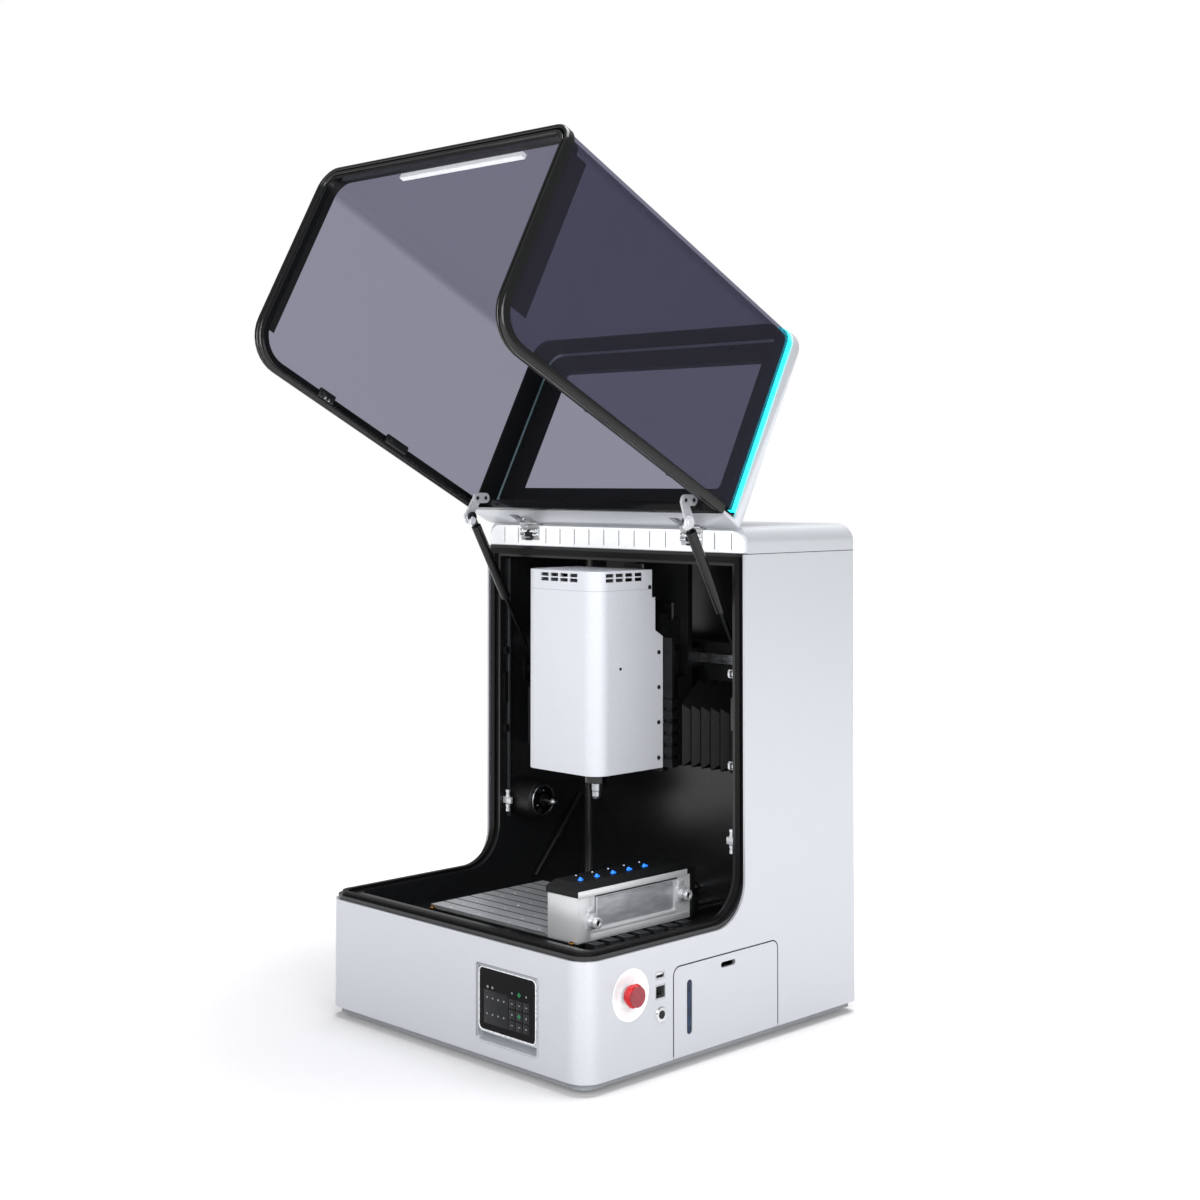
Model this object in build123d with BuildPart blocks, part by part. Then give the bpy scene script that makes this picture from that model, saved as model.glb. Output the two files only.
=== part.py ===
from build123d import *
import os
from math import cos, hypot, radians, sin

os.makedirs("parts", exist_ok=True)

# Benchtop milling machine with a lift-up hood, modelled with the hood open.
# Origin: middle of the footprint on the bench. X to the right seen from the
# front, Y to the back, Z up. Millimetres and degrees.

# Housing
body_w = 454.0
body_d = 490.0
body_h = 614.0
wall = 3.0
front_r = 26.0
back_r = 12.0
foot_h = 6.0
plinth_h = 8.0
plinth_inset = 8.0
base_top = 146.0
column_front = 24.0
notch_r = 50.0
cover_h = 34.0
cover_edge_r = 20.0
cover_front = 30.0
reach = 1600.0
shell_z = foot_h + plinth_h
seam_z = body_h - cover_h
right_face = body_w / 2
front_face = -body_d / 2
back_face = body_d / 2
gantry_z = body_h - 314.0

# Hood, given as it stands closed, and its hinge line
hood_y = 23.0
hood_z = 155.5
hood_half_w = right_face - 3.6
hood_front_r = 28.0
hood_corner_r = 50.0
hinge_y = 22.8
hinge_z = body_h - 2.3
hood_open = 117.6

# Door seal: flange and gasket follow the closed hood's rim
seal_gap = 0.5
gasket_h = 4.0
gasket_inset = 8.0
gasket_w = 7.0
flange_t = 6.0
sealing_bar = 14.0

# Chamber lining
chamber_half_w = right_face - 22.0
chamber_front = front_face + 33.0
chamber_back = back_face - 50.0
chamber_floor = 121.0
chamber_top = seam_z - 5.0
liner_t = 3.0
liner_r = 12.0

# Clearances
running = 0.05
slip = 0.3
face_gap = 0.4


def footprint(inset):
    """Plan outline of the housing, large radius in front, small at the back."""
    width = body_w - 2 * inset
    depth = body_d - 2 * inset
    RectangleRounded(width, depth, front_r - inset)
    with Locations((0, depth / 4)):
        RectangleRounded(width, depth / 2, back_r - inset)


def step_space(front_y, base_z, radius):
    """Side outline of the space in front of the column and over the base."""
    with Locations((front_y - reach / 2, base_z + reach / 2)):
        RectangleRounded(reach, reach, radius)


def rect(u_span, v_span, mode=Mode.ADD):
    """Rectangle given by its limits along the sketch's two axes."""
    with Locations((sum(u_span) / 2, sum(v_span) / 2)):
        Rectangle(u_span[1] - u_span[0], v_span[1] - v_span[0], mode=mode)


def round_rect(u_span, v_span, radius, mode=Mode.ADD):
    """The same with rounded corners."""
    with Locations((sum(u_span) / 2, sum(v_span) / 2)):
        RectangleRounded(u_span[1] - u_span[0], v_span[1] - v_span[0], radius, mode=mode)


def block(x_span, y_span, z_span, mode=Mode.ADD):
    """Straight block between two limits on each axis."""
    with Locations((sum(x_span) / 2, sum(y_span) / 2, sum(z_span) / 2)):
        Box(x_span[1] - x_span[0], y_span[1] - y_span[0], z_span[1] - z_span[0], mode=mode)


def about(centre, half):
    """Limits that lie the same distance on both sides of a centre."""
    return (centre - half, centre + half)


def mirrored(span):
    """The same limits on the other side of the machine's middle plane."""
    return (-span[1], -span[0])


# Openings in the side, front and back of the shell
tank_y = (front_face + 143.0, front_face + 329.0)
tank_top = 117.0
tank_corner_r = 10.0
tank_gap = 1.0
stop_y, stop_z = front_face + 72.7, 100.0
stop_dish_r = 29.0
usb_y, usb_z = front_face + 120.5, 113.0
usb_size = (15.0, 7.6)
net_y, net_z = front_face + 121.0, 94.5
net_size = (17.0, 15.6)
jack_y, jack_z = front_face + 122.0, 69.0
jack_r = 7.0
screen_x = (right_face - 174.5, right_face - 72.0)
screen_z = (29.5, 117.5)
screen_r = 7.0
rear_open_x = (-right_face + 41.0, right_face - 41.0)
rear_open_z = (38.0, body_h - 74.0)

# Outer shell: folded and welded sheet with a stepped side
with BuildPart() as outer_shell:
    with BuildSketch(Plane.XY.offset(shell_z)):
        footprint(0)
    extrude(amount=seam_z - shell_z)
    with BuildSketch(Plane.XY.offset(shell_z)):
        footprint(wall)
    extrude(amount=seam_z - shell_z, mode=Mode.SUBTRACT)
    with BuildSketch(Plane.YZ):
        step_space(column_front, base_top, notch_r)
    extrude(amount=body_w, both=True, mode=Mode.SUBTRACT)
    with BuildSketch(Plane.YZ.offset(right_face)):
        round_rect(
            (tank_y[0] - tank_gap, tank_y[1] + tank_gap),
            (shell_z - 2 * tank_corner_r, tank_top + tank_gap),
            tank_corner_r + tank_gap,
        )
        with Locations((stop_y, stop_z)):
            Circle(stop_dish_r + slip)
        with Locations((usb_y, usb_z)):
            Rectangle(usb_size[0] + 2 * slip, usb_size[1] + 2 * slip)
        with Locations((net_y, net_z)):
            Rectangle(net_size[0] + 2 * slip, net_size[1] + 2 * slip)
        with Locations((jack_y, jack_z)):
            Circle(jack_r + slip)
    extrude(amount=-2 * wall, mode=Mode.SUBTRACT)
    with BuildSketch(Plane.XZ.offset(-front_face)):
        round_rect(
            (screen_x[0] - slip, screen_x[1] + slip),
            (screen_z[0] - slip, screen_z[1] + slip),
            screen_r + slip,
        )
    extrude(amount=-2 * wall, mode=Mode.SUBTRACT)
    with BuildSketch(Plane.XZ.offset(-back_face - wall)):
        rect(rear_open_x, rear_open_z)
    extrude(amount=3 * wall, mode=Mode.SUBTRACT)
outer_shell.part.label = "outer_shell"
export_step(outer_shell.part, "parts/outer_shell.step")

# Top cover: pressed lid behind the hinge line, hollow underneath
cover_cavity_inset = 8.0
cover_cavity_h = 24.0
with BuildPart() as top_cover:
    with BuildSketch(Plane.XY.offset(seam_z)):
        footprint(0)
        rect((-body_w, body_w), (-body_d, cover_front), mode=Mode.SUBTRACT)
    extrude(amount=cover_h)
    upper_edges = top_cover.faces().sort_by(Axis.Z)[-1].edges()
    fillet(upper_edges.filter_by(lambda edge: edge.center().Y > cover_front + 1), cover_edge_r)
    with BuildSketch(Plane.XY.offset(seam_z)):
        footprint(cover_cavity_inset)
        rect((-body_w, body_w), (-body_d, cover_front + cover_cavity_inset), mode=Mode.SUBTRACT)
    extrude(amount=cover_cavity_h, mode=Mode.SUBTRACT)
top_cover.part.label = "top_cover"
export_step(top_cover.part, "parts/top_cover.step")

# Header strip: grooved white moulding on the front of the top cover
header_half_w = right_face - 5.0
header_t = 5.0
header_h = 26.0
header_corner_r = 18.0
header_pitch = 26.6
header_count = 16
header_first_x = -header_half_w + 28.6
groove_w = 2.0
groove_deep = 2.0
groove_h = 20.0
header_z = seam_z + 2.0
header_front = cover_front - header_t
header_mid_z = header_z + header_h / 2
hinge_x = right_face - 84.0
hinge_half_w = 17.0
hinge_pocket = 2.0
with BuildPart() as header_strip:
    with BuildSketch(Plane.XZ.offset(-cover_front)):
        rect((-header_half_w, header_half_w), (header_z, header_z + header_h / 2))
        round_rect(
            (-header_half_w, header_half_w),
            (header_z - 2 * header_corner_r, header_z + header_h),
            header_corner_r,
        )
        rect((-body_w, body_w), (0, header_z), mode=Mode.SUBTRACT)
    extrude(amount=header_t)
    with BuildSketch(Plane.XZ.offset(-header_front)):
        for index in range(header_count):
            x = header_first_x + index * header_pitch
            clear_of_hinge = all(abs(x - s * hinge_x) > hinge_half_w + groove_w for s in (-1, 1))
            if clear_of_hinge and abs(x) < header_half_w - groove_w:
                rect(about(x, groove_w / 2), about(header_mid_z, groove_h / 2))
    extrude(amount=-groove_deep, mode=Mode.SUBTRACT)
    for side in (-1, 1):
        block(
            about(side * hinge_x, hinge_half_w + slip),
            (header_front - 1, header_front + hinge_pocket),
            (header_mid_z - 6, header_z + header_h + 1),
            mode=Mode.SUBTRACT,
        )
header_strip.part.label = "header_strip"
export_step(header_strip.part, "parts/header_strip.step")

# Base plate and the four rubber feet under it
foot_r = 18.0
foot_x = right_face - 47.0
foot_y = back_face - 45.0
with BuildPart() as base_plate:
    with BuildSketch(Plane.XY.offset(foot_h)):
        footprint(plinth_inset)
    extrude(amount=plinth_h)
base_plate.part.label = "base_plate"
export_step(base_plate.part, "parts/base_plate.step")

with BuildPart() as feet:
    with BuildSketch(Plane.XY):
        with GridLocations(2 * foot_x, 2 * foot_y, 2, 2):
            Circle(foot_r)
    extrude(amount=foot_h, taper=10)
feet.part.label = "feet"
export_step(feet.part, "parts/feet.step")

# Chamber lining: one black tub with open front and open base top
flange_y = hood_y + seal_gap + gasket_h
flange_z = hood_z - seal_gap - gasket_h
flange_r = hood_corner_r + seal_gap + gasket_h
liner_y = flange_y + flange_t
liner_z = flange_z - flange_t
screw_bore_z = chamber_floor + 6.0
with BuildPart() as chamber_liner:
    with BuildSketch(Plane.XY.offset(chamber_floor - liner_t)):
        round_rect(
            (-chamber_half_w - liner_t, chamber_half_w + liner_t),
            (chamber_front - liner_t, chamber_back + liner_t),
            liner_r + liner_t,
        )
    extrude(amount=chamber_top - chamber_floor + 2 * liner_t)
    with BuildSketch(Plane.YZ):
        step_space(liner_y, liner_z, flange_r + flange_t)
    extrude(amount=body_w, both=True, mode=Mode.SUBTRACT)
    with BuildSketch(Plane.XY.offset(chamber_floor)):
        round_rect(
            (-chamber_half_w, chamber_half_w),
            (chamber_front, chamber_back),
            liner_r,
        )
    extrude(amount=chamber_top - chamber_floor, mode=Mode.SUBTRACT)
    with BuildSketch(Plane.XZ.offset(-chamber_back - 2 * liner_t)):
        with Locations((0, screw_bore_z)):
            Circle(6)
    extrude(amount=3 * liner_t, mode=Mode.SUBTRACT)
chamber_liner.part.label = "chamber_liner"
export_step(chamber_liner.part, "parts/chamber_liner.step")

# Rim flange: black frame between lining and shell, round the stepped opening
with BuildPart() as rim_flange:
    with BuildSketch(Plane.XY.offset(chamber_floor)):
        footprint(wall)
    extrude(amount=seam_z - chamber_floor)
    with BuildSketch(Plane.YZ):
        step_space(liner_y, liner_z, flange_r + flange_t)
    extrude(amount=body_w, both=True, mode=Mode.INTERSECT)
    with BuildSketch(Plane.YZ):
        step_space(flange_y, flange_z, flange_r)
    extrude(amount=body_w, both=True, mode=Mode.SUBTRACT)
    with BuildSketch(Plane.XY.offset(chamber_floor)):
        round_rect(
            (-chamber_half_w, chamber_half_w),
            (chamber_front, chamber_back),
            liner_r,
        )
    extrude(amount=seam_z - sealing_bar - chamber_floor, mode=Mode.SUBTRACT)
rim_flange.part.label = "rim_flange"
export_step(rim_flange.part, "parts/rim_flange.step")

# Rim gasket: rubber loop on the flange
with BuildPart() as rim_gasket:
    with BuildSketch(Plane.XY.offset(chamber_floor)):
        footprint(gasket_inset)
    extrude(amount=seam_z - (sealing_bar - gasket_w) / 2 - chamber_floor)
    with BuildSketch(Plane.YZ):
        step_space(flange_y, flange_z, flange_r)
    extrude(amount=body_w, both=True, mode=Mode.INTERSECT)
    with BuildSketch(Plane.YZ):
        step_space(flange_y - gasket_h, flange_z + gasket_h, flange_r - gasket_h)
    extrude(amount=body_w, both=True, mode=Mode.SUBTRACT)
    with BuildSketch(Plane.XY.offset(chamber_floor)):
        round_rect(
            about(0, right_face - gasket_inset - gasket_w),
            (front_face + gasket_inset + gasket_w, back_face),
            front_r - gasket_inset - gasket_w,
        )
    extrude(amount=seam_z - (sealing_bar + gasket_w) / 2 - chamber_floor, mode=Mode.SUBTRACT)
rim_gasket.part.label = "rim_gasket"
export_step(rim_gasket.part, "parts/rim_gasket.step")

# Rear panel with louvred vents, inlet socket and rocker switch
rear_lap = 8.0
rear_t = 2.5
vent_w = 60.0
vent_h = 5.0
vent_pitch = 12.0
vent_count = 7
inlet_x, inlet_z = rear_open_x[0] + 66.0, 90.0
inlet_size = (50.0, 64.0)
rocker_z = inlet_z + 18.0
rocker_size = (20.0, 12.0)
socket_z = inlet_z - 12.0
socket_size = (24.0, 17.0)
rear_skin = back_face - wall
with BuildPart() as rear_panel:
    with BuildSketch(Plane.XZ.offset(-rear_skin)):
        rect(
            (rear_open_x[0] - rear_lap, rear_open_x[1] + rear_lap),
            (rear_open_z[0] - rear_lap, rear_open_z[1] + rear_lap),
        )
        with Locations((inlet_x, inlet_z)):
            Rectangle(*inlet_size, mode=Mode.SUBTRACT)
        for vent_z in (rear_open_z[0] + 152, rear_open_z[1] - 110):
            with Locations((rear_open_x[1] - 96, vent_z)):
                with GridLocations(vent_w, vent_pitch, 1, vent_count):
                    SlotOverall(vent_w, vent_h, mode=Mode.SUBTRACT)
    extrude(amount=rear_t)
rear_panel.part.label = "rear_panel"
export_step(rear_panel.part, "parts/rear_panel.step")

inlet_flange = 4.0
inlet_flange_t = 1.6
inlet_deep = 26.0
rocker_pin_r = 1.5
rocker_deep = 9.0
rocker_y = rear_skin - 0.5
with BuildPart() as power_inlet:
    with BuildSketch(Plane.XZ.offset(-rear_skin)):
        with Locations((inlet_x, inlet_z)):
            RectangleRounded(
                inlet_size[0] + 2 * inlet_flange, inlet_size[1] + 2 * inlet_flange, inlet_flange
            )
    extrude(amount=-inlet_flange_t)
    with BuildSketch(Plane.XZ.offset(-rear_skin)):
        with Locations((inlet_x, inlet_z)):
            Rectangle(inlet_size[0] - 2 * slip, inlet_size[1] - 2 * slip)
    extrude(amount=inlet_deep)
    with BuildSketch(Plane.XZ.offset(-rear_skin - 2 * inlet_flange_t)):
        with Locations((inlet_x, socket_z)):
            RectangleRounded(*socket_size, 3)
    extrude(amount=16 + 2 * inlet_flange_t, mode=Mode.SUBTRACT)
    with BuildSketch(Plane.XZ.offset(-rear_skin - 2 * inlet_flange_t)):
        with Locations((inlet_x, rocker_z)):
            Rectangle(rocker_size[0] + 2 * slip, rocker_size[1] + 2 * slip + 3)
    extrude(amount=14 + 2 * inlet_flange_t, mode=Mode.SUBTRACT)
    with Locations(Location((inlet_x, rocker_y, rocker_z), (0, 90, 0))):
        Cylinder(rocker_pin_r + running, rocker_size[0] + 5, mode=Mode.SUBTRACT)
    with BuildSketch(Plane.XZ.offset(-rear_skin + 12)):
        with Locations((inlet_x, socket_z)):
            with GridLocations(7, 0, 3, 1):
                Rectangle(1.6, 5)
    extrude(amount=10)
power_inlet.part.label = "power_inlet"
export_step(power_inlet.part, "parts/power_inlet.step")

rocker_tilt = 10.0
with BuildPart() as power_rocker:
    with BuildSketch(Plane.YZ.offset(inlet_x - rocker_size[0] / 2)):
        with BuildLine():
            tip = (rocker_y + 2.6, rocker_z + rocker_size[1] / 2 - 0.6)
            dip = (rocker_y + 1.4, rocker_z)
            low = (rocker_y + 0.6, rocker_z - rocker_size[1] / 2 + 0.6)
            ThreePointArc(tip, dip, low)
            Polyline(
                low,
                (rocker_y - rocker_deep / 2, rocker_z - 3),
                (rocker_y - rocker_deep / 2, rocker_z + 3),
                tip,
            )
        make_face()
    extrude(amount=rocker_size[0])
    with Locations(Location((inlet_x, rocker_y, rocker_z), (0, 90, 0))):
        Cylinder(rocker_pin_r, rocker_size[0] + 4)
power_rocker.part.label = "power_rocker"
export_step(power_rocker.part, "parts/power_rocker.step")

# Electronics behind the chamber: power supply and control board
supply_size = (200.0, 34.0, 110.0)
supply_pos = (-60.0, chamber_back + liner_t + supply_size[1] / 2, gantry_z + 30)
board_size = (150.0, 2.0, 120.0)
board_standoff = 8.0
board_pos = (40.0, chamber_back + liner_t + board_standoff + board_size[1] / 2, gantry_z + 170)
with BuildPart() as electronics:
    with Locations(supply_pos):
        Box(*supply_size)
    with Locations(board_pos):
        Box(*board_size)
    with BuildSketch(Plane.XZ.offset(-chamber_back - liner_t)):
        with Locations((board_pos[0], board_pos[2])):
            with GridLocations(130, 100, 2, 2):
                Circle(3)
    extrude(amount=-board_standoff)
    with Locations((board_pos[0], board_pos[1] + 5, board_pos[2])):
        with Locations((-40, 0, -30), (0, 0, -30), (40, 0, -30), (-30, 0, 30)):
            Box(24, 8, 24)
electronics.part.label = "electronics"
export_step(electronics.part, "parts/electronics.step")

# Touch screen in its bezel on the front
bezel_deep = 14.0
scoop_deep = 11.0
scoop_rise = 5.0
glass_x = (screen_x[0] + 4.0, screen_x[1] - 4.5)
glass_z = (43.0, 114.0)
glass_deep = 1.0
glass_t = 2.0
glass_r = 6.0
with BuildPart() as screen_bezel:
    with BuildSketch(Plane.XZ.offset(-front_face)):
        round_rect(screen_x, screen_z, screen_r)
    extrude(amount=-bezel_deep)
    with BuildSketch(Plane.XZ.offset(-front_face)):
        round_rect(
            (screen_x[0] + 1.5, screen_x[1] - 1.5), (screen_z[0] + 1.5, screen_z[1] - 1.5), screen_r - 1.5
        )
    extrude(amount=-glass_deep - 1, taper=25, mode=Mode.SUBTRACT)
    with BuildSketch(Plane.XZ.offset(-front_face)):
        round_rect(glass_x, glass_z, glass_r)
    extrude(amount=-glass_deep - 1 - glass_t, mode=Mode.SUBTRACT)
    with BuildSketch(Plane.YZ.offset(glass_x[0])):
        Polygon(
            (front_face - 1, screen_z[0] + 1.5),
            (front_face, screen_z[0] + 1.5),
            (front_face + scoop_deep, screen_z[0] + 1.5 + scoop_rise),
            (front_face + scoop_deep, glass_z[0] - 2),
            (front_face - 1, glass_z[0] - 2),
            align=None,
        )
    extrude(amount=glass_x[1] - glass_x[0], mode=Mode.SUBTRACT)
screen_bezel.part.label = "screen_bezel"
export_step(screen_bezel.part, "parts/screen_bezel.step")

with BuildPart() as touch_screen:
    with BuildSketch(Plane.XZ.offset(-front_face - glass_deep)):
        round_rect(
            (glass_x[0] + slip, glass_x[1] - slip),
            (glass_z[0] + slip, glass_z[1] - slip),
            glass_r - slip,
        )
    extrude(amount=-glass_t - 1)
touch_screen.part.label = "touch_screen"
export_step(touch_screen.part, "parts/touch_screen.step")

# Stop button: dished collar in the side, stem that slides, red head that turns
collar_deep = 8.0
dish_inner_r = 15.0
dish_floor = 6.0
stem_r = 8.0
stem_bore_deep = 24.0
stop_travel = 4.0
head_r = 13.5
head_t = 11.0
head_lift = stop_travel + 1.0
lobe_count = 4
lobe_r = 6.0
lobe_deep = 2.2
dish_bottom = right_face - dish_floor
with BuildPart() as stop_collar:
    with BuildSketch(Plane.YZ.offset(right_face - collar_deep)):
        with Locations((stop_y, stop_z)):
            Circle(stop_dish_r)
    extrude(amount=collar_deep)
    with BuildSketch(Plane.YZ.offset(dish_bottom)):
        with Locations((stop_y, stop_z)):
            Circle(dish_inner_r)
    with BuildSketch(Plane.YZ.offset(right_face)):
        with Locations((stop_y, stop_z)):
            Circle(stop_dish_r - 1)
    loft(mode=Mode.SUBTRACT)
    with BuildSketch(Plane.YZ.offset(right_face - stem_bore_deep)):
        with Locations((stop_y, stop_z)):
            Circle(stem_r + 3)
    extrude(amount=stem_bore_deep - collar_deep)
    with BuildSketch(Plane.YZ.offset(right_face - stem_bore_deep - 1)):
        with Locations((stop_y, stop_z)):
            Circle(stem_r + running)
    extrude(amount=stem_bore_deep + 2, mode=Mode.SUBTRACT)
stop_collar.part.label = "stop_collar"
export_step(stop_collar.part, "parts/stop_collar.step")

head_x = dish_bottom + head_lift
spigot_r = 4.0
spigot_l = 5.0
with BuildPart() as stop_stem:
    with BuildSketch(Plane.YZ.offset(right_face - stem_bore_deep)):
        with Locations((stop_y, stop_z)):
            Circle(stem_r)
    extrude(amount=head_x - right_face + stem_bore_deep)
    with BuildSketch(Plane.YZ.offset(head_x)):
        with Locations((stop_y, stop_z)):
            Circle(spigot_r)
    extrude(amount=spigot_l)
stop_stem.part.label = "stop_stem"
export_step(stop_stem.part, "parts/stop_stem.step")

head_face = head_x + slip
head_tip_x = head_face + head_t
with BuildPart() as stop_head:
    with BuildSketch(Plane.XY):
        with BuildLine():
            Polyline((0, 0), (11, 0), (12.5, 4), (head_r, 6))
            Spline((head_r, 6), (head_r - 1.2, 9.2), (8, head_t - 0.3), (0, head_t))
            Line((0, head_t), (0, 0))
        make_face()
    revolve(axis=Axis.Y)
    with BuildSketch(Plane.XZ):
        Circle(spigot_r + running)
    extrude(amount=-spigot_l, mode=Mode.SUBTRACT)
    with BuildSketch(Plane.XZ):
        with PolarLocations(head_r + lobe_r - lobe_deep, lobe_count):
            Circle(lobe_r)
    extrude(amount=-head_t - 1, mode=Mode.SUBTRACT)
stop_head.part = Pos(head_face, stop_y, stop_z) * Rot(0, 0, -90) * stop_head.part
stop_head.part.label = "stop_head"
export_step(stop_head.part, "parts/stop_head.step")

# Sockets beside the stop button: USB, network and a round jack
socket_back = 14.0
port_t = 1.2
with BuildPart() as port_sockets:
    for y, z, size, deep in (
        (usb_y, usb_z, usb_size, socket_back - port_t),
        (net_y, net_z, net_size, socket_back - port_t),
    ):
        with BuildSketch(Plane.YZ.offset(right_face - socket_back)):
            with Locations((y, z)):
                Rectangle(*size)
        extrude(amount=socket_back)
        with BuildSketch(Plane.YZ.offset(right_face - deep)):
            with Locations((y, z)):
                Rectangle(size[0] - 2 * port_t, size[1] - 2 * port_t)
        extrude(amount=deep, mode=Mode.SUBTRACT)
    with BuildSketch(Plane.YZ.offset(right_face - socket_back)):
        with Locations((jack_y, jack_z)):
            Circle(jack_r)
    extrude(amount=socket_back + port_t)
    with BuildSketch(Plane.YZ.offset(right_face - socket_back + port_t)):
        with Locations((jack_y, jack_z)):
            Circle(jack_r - 4)
    extrude(amount=socket_back, mode=Mode.SUBTRACT)
port_sockets.part.label = "port_sockets"
export_step(port_sockets.part, "parts/port_sockets.step")

# Coolant tank: drawer behind a flush door in the right side
door_t = 4.0
door_low = shell_z + face_gap
tub_x = (right_face - 167.0, right_face - door_t)
tub_y = (tank_y[0] + 8, tank_y[1] - 8)
tub_top = 106.0
tub_t = 2.5
finger_y, finger_z = tank_y[0] + 95.0, 105.0
finger_size = (26.0, 6.5)
level_y = tank_y[0] + 27.0
level_z = (37.0, 99.0)
level_w = 9.0
with BuildPart() as tank_door:
    with BuildSketch(Plane.YZ.offset(right_face - door_t)):
        round_rect(tank_y, (door_low - 2 * tank_corner_r, tank_top), tank_corner_r)
        rect((tank_y[0] - 1, tank_y[1] + 1), (-body_h, door_low), mode=Mode.SUBTRACT)
        with Locations((finger_y, finger_z)):
            SlotOverall(*finger_size, mode=Mode.SUBTRACT)
        with Locations((level_y, sum(level_z) / 2)):
            SlotOverall(level_z[1] - level_z[0], level_w, rotation=90, mode=Mode.SUBTRACT)
    extrude(amount=door_t)
tank_door.part.label = "tank_door"
export_step(tank_door.part, "parts/tank_door.step")

with BuildPart() as level_window:
    with BuildSketch(Plane.YZ.offset(right_face - door_t)):
        with Locations((level_y, sum(level_z) / 2)):
            SlotOverall(level_z[1] - level_z[0] - 2 * slip, level_w - 2 * slip, rotation=90)
    extrude(amount=door_t - 1)
level_window.part.label = "level_window"
export_step(level_window.part, "parts/level_window.step")

with BuildPart() as coolant_tank:
    with BuildSketch(Plane.XY.offset(door_low)):
        round_rect(tub_x, tub_y, 10)
    extrude(amount=tub_top - door_low)
    with BuildSketch(Plane.XY.offset(door_low + tub_t)):
        round_rect(
            (tub_x[0] + tub_t, tub_x[1] - tub_t), (tub_y[0] + tub_t, tub_y[1] - tub_t), 10 - tub_t
        )
    extrude(amount=tub_top - door_low, mode=Mode.SUBTRACT)
    with BuildSketch(Plane.YZ.offset(tub_x[1] - tub_t - 1)):
        with Locations((finger_y, finger_z)):
            Rectangle(finger_size[0] + 4, finger_size[1] + 8)
    extrude(amount=tub_t + 2, mode=Mode.SUBTRACT)
coolant_tank.part.label = "coolant_tank"
export_step(coolant_tank.part, "parts/coolant_tank.step")

# Gantry beam across the chamber, with a bracket to the back wall at each end
beam_y = (chamber_back - 65.0, chamber_back - 41.0)
beam_z = (gantry_z, gantry_z + 162.0)
bracket_w = 30.0
pocket_count = 4
pocket_pitch = (2 * chamber_half_w - 42.0) / pocket_count
with BuildPart() as gantry_beam:
    block((-chamber_half_w, chamber_half_w), beam_y, beam_z)
    with BuildSketch(Plane.XZ.offset(-beam_y[1])):
        with GridLocations(pocket_pitch, 0, pocket_count, 1):
            with Locations((0, sum(beam_z) / 2)):
                RectangleRounded(pocket_pitch - 28, 110, 8)
    extrude(amount=12, mode=Mode.SUBTRACT)
    for side in (-1, 1):
        inner = side * (chamber_half_w - liner_r - bracket_w / 2)
        block(about(inner, bracket_w / 2), (beam_y[1], chamber_back), (beam_z[0] + 20, beam_z[1] - 20))
gantry_beam.part.label = "gantry_beam"
export_step(gantry_beam.part, "parts/gantry_beam.step")

# Guide rails of the cross axis on the beam and of the table on the floor
rail_w = 12.0
rail_h = 9.0
x_rail_z = (beam_z[0] + 28.0, beam_z[1] - 20.0)
x_rail_half = chamber_half_w - 7.0
y_rail_x = 70.0
y_rail_y = (chamber_front + 6.0, chamber_back - 37.0)
x_rail_face = beam_y[0]

# Waisted guide rail section as shares of its width and height, foot at zero
rail_outline = (
    (-0.5, 0.0),
    (0.5, 0.0),
    (0.5, 0.35),
    (0.34, 0.55),
    (0.5, 0.75),
    (0.5, 1.0),
    (-0.5, 1.0),
    (-0.5, 0.75),
    (-0.34, 0.55),
    (-0.5, 0.35),
)


def rail_section(grow=0.0):
    """Guide rail section standing on the sketch's first axis."""
    points = [(u * (rail_w + 2 * grow), v * (rail_h + grow)) for u, v in rail_outline]
    Polygon(*points, align=None)


def x_rail_plane(z):
    """Plane at the left end of a cross rail, looking along it."""
    return Plane((-x_rail_half, x_rail_face, z), x_dir=(0, 0, 1), z_dir=(1, 0, 0))


def y_rail_plane(x):
    """Plane at the back end of a table rail, looking forward along it."""
    return Plane((x, y_rail_y[1], chamber_floor), x_dir=(1, 0, 0), z_dir=(0, -1, 0))


with BuildPart() as linear_rails:
    for z in x_rail_z:
        with BuildSketch(x_rail_plane(z)):
            rail_section()
        extrude(amount=2 * x_rail_half)
    for x in (-y_rail_x, y_rail_x):
        with BuildSketch(y_rail_plane(x)):
            rail_section()
        extrude(amount=y_rail_y[1] - y_rail_y[0])
linear_rails.part.label = "linear_rails"
export_step(linear_rails.part, "parts/linear_rails.step")

# Cross carriage: back plate with head rails, cheeks that end the bellows,
# shoes, nut and the shelf for the motor
head_cx = 5.0
carriage_half_w = 72.0
plate_y = (beam_y[0] - 38.0, beam_y[0] - 30.0)
cheek_t = 7.0
cheek_y = plate_y[0] - 16.0
cheek_top = gantry_z + 120.0
tower_z = (gantry_z + 9.0, gantry_z + 266.0)
screw_r = 4.0
screw_end_r = 2.5
nut_half = 9.0
x_screw_y, x_screw_z = beam_y[0] - 18.0, gantry_z + 52.0
z_screw_y = plate_y[0] - 8.0
z_rail_x = 44.0
z_rail_z = (tower_z[0] + 8.0, tower_z[1] - 54.0)
motor_w = 35.0
motor_r = 4.0
z_shelf_z = (z_rail_z[1] + 2.0, z_rail_z[1] + 7.0)
z_motor_l = 42.0
shoe_x = 48.0
shoe_half = 18.0
shoe_gap = 0.3
carriage_x = about(head_cx, carriage_half_w)


def z_rail_plane(side):
    """Plane at the foot of a head rail, looking up along it."""
    origin = (head_cx + side * z_rail_x, plate_y[0], z_rail_z[0])
    return Plane(origin, x_dir=(-1, 0, 0), z_dir=(0, 0, 1))


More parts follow.
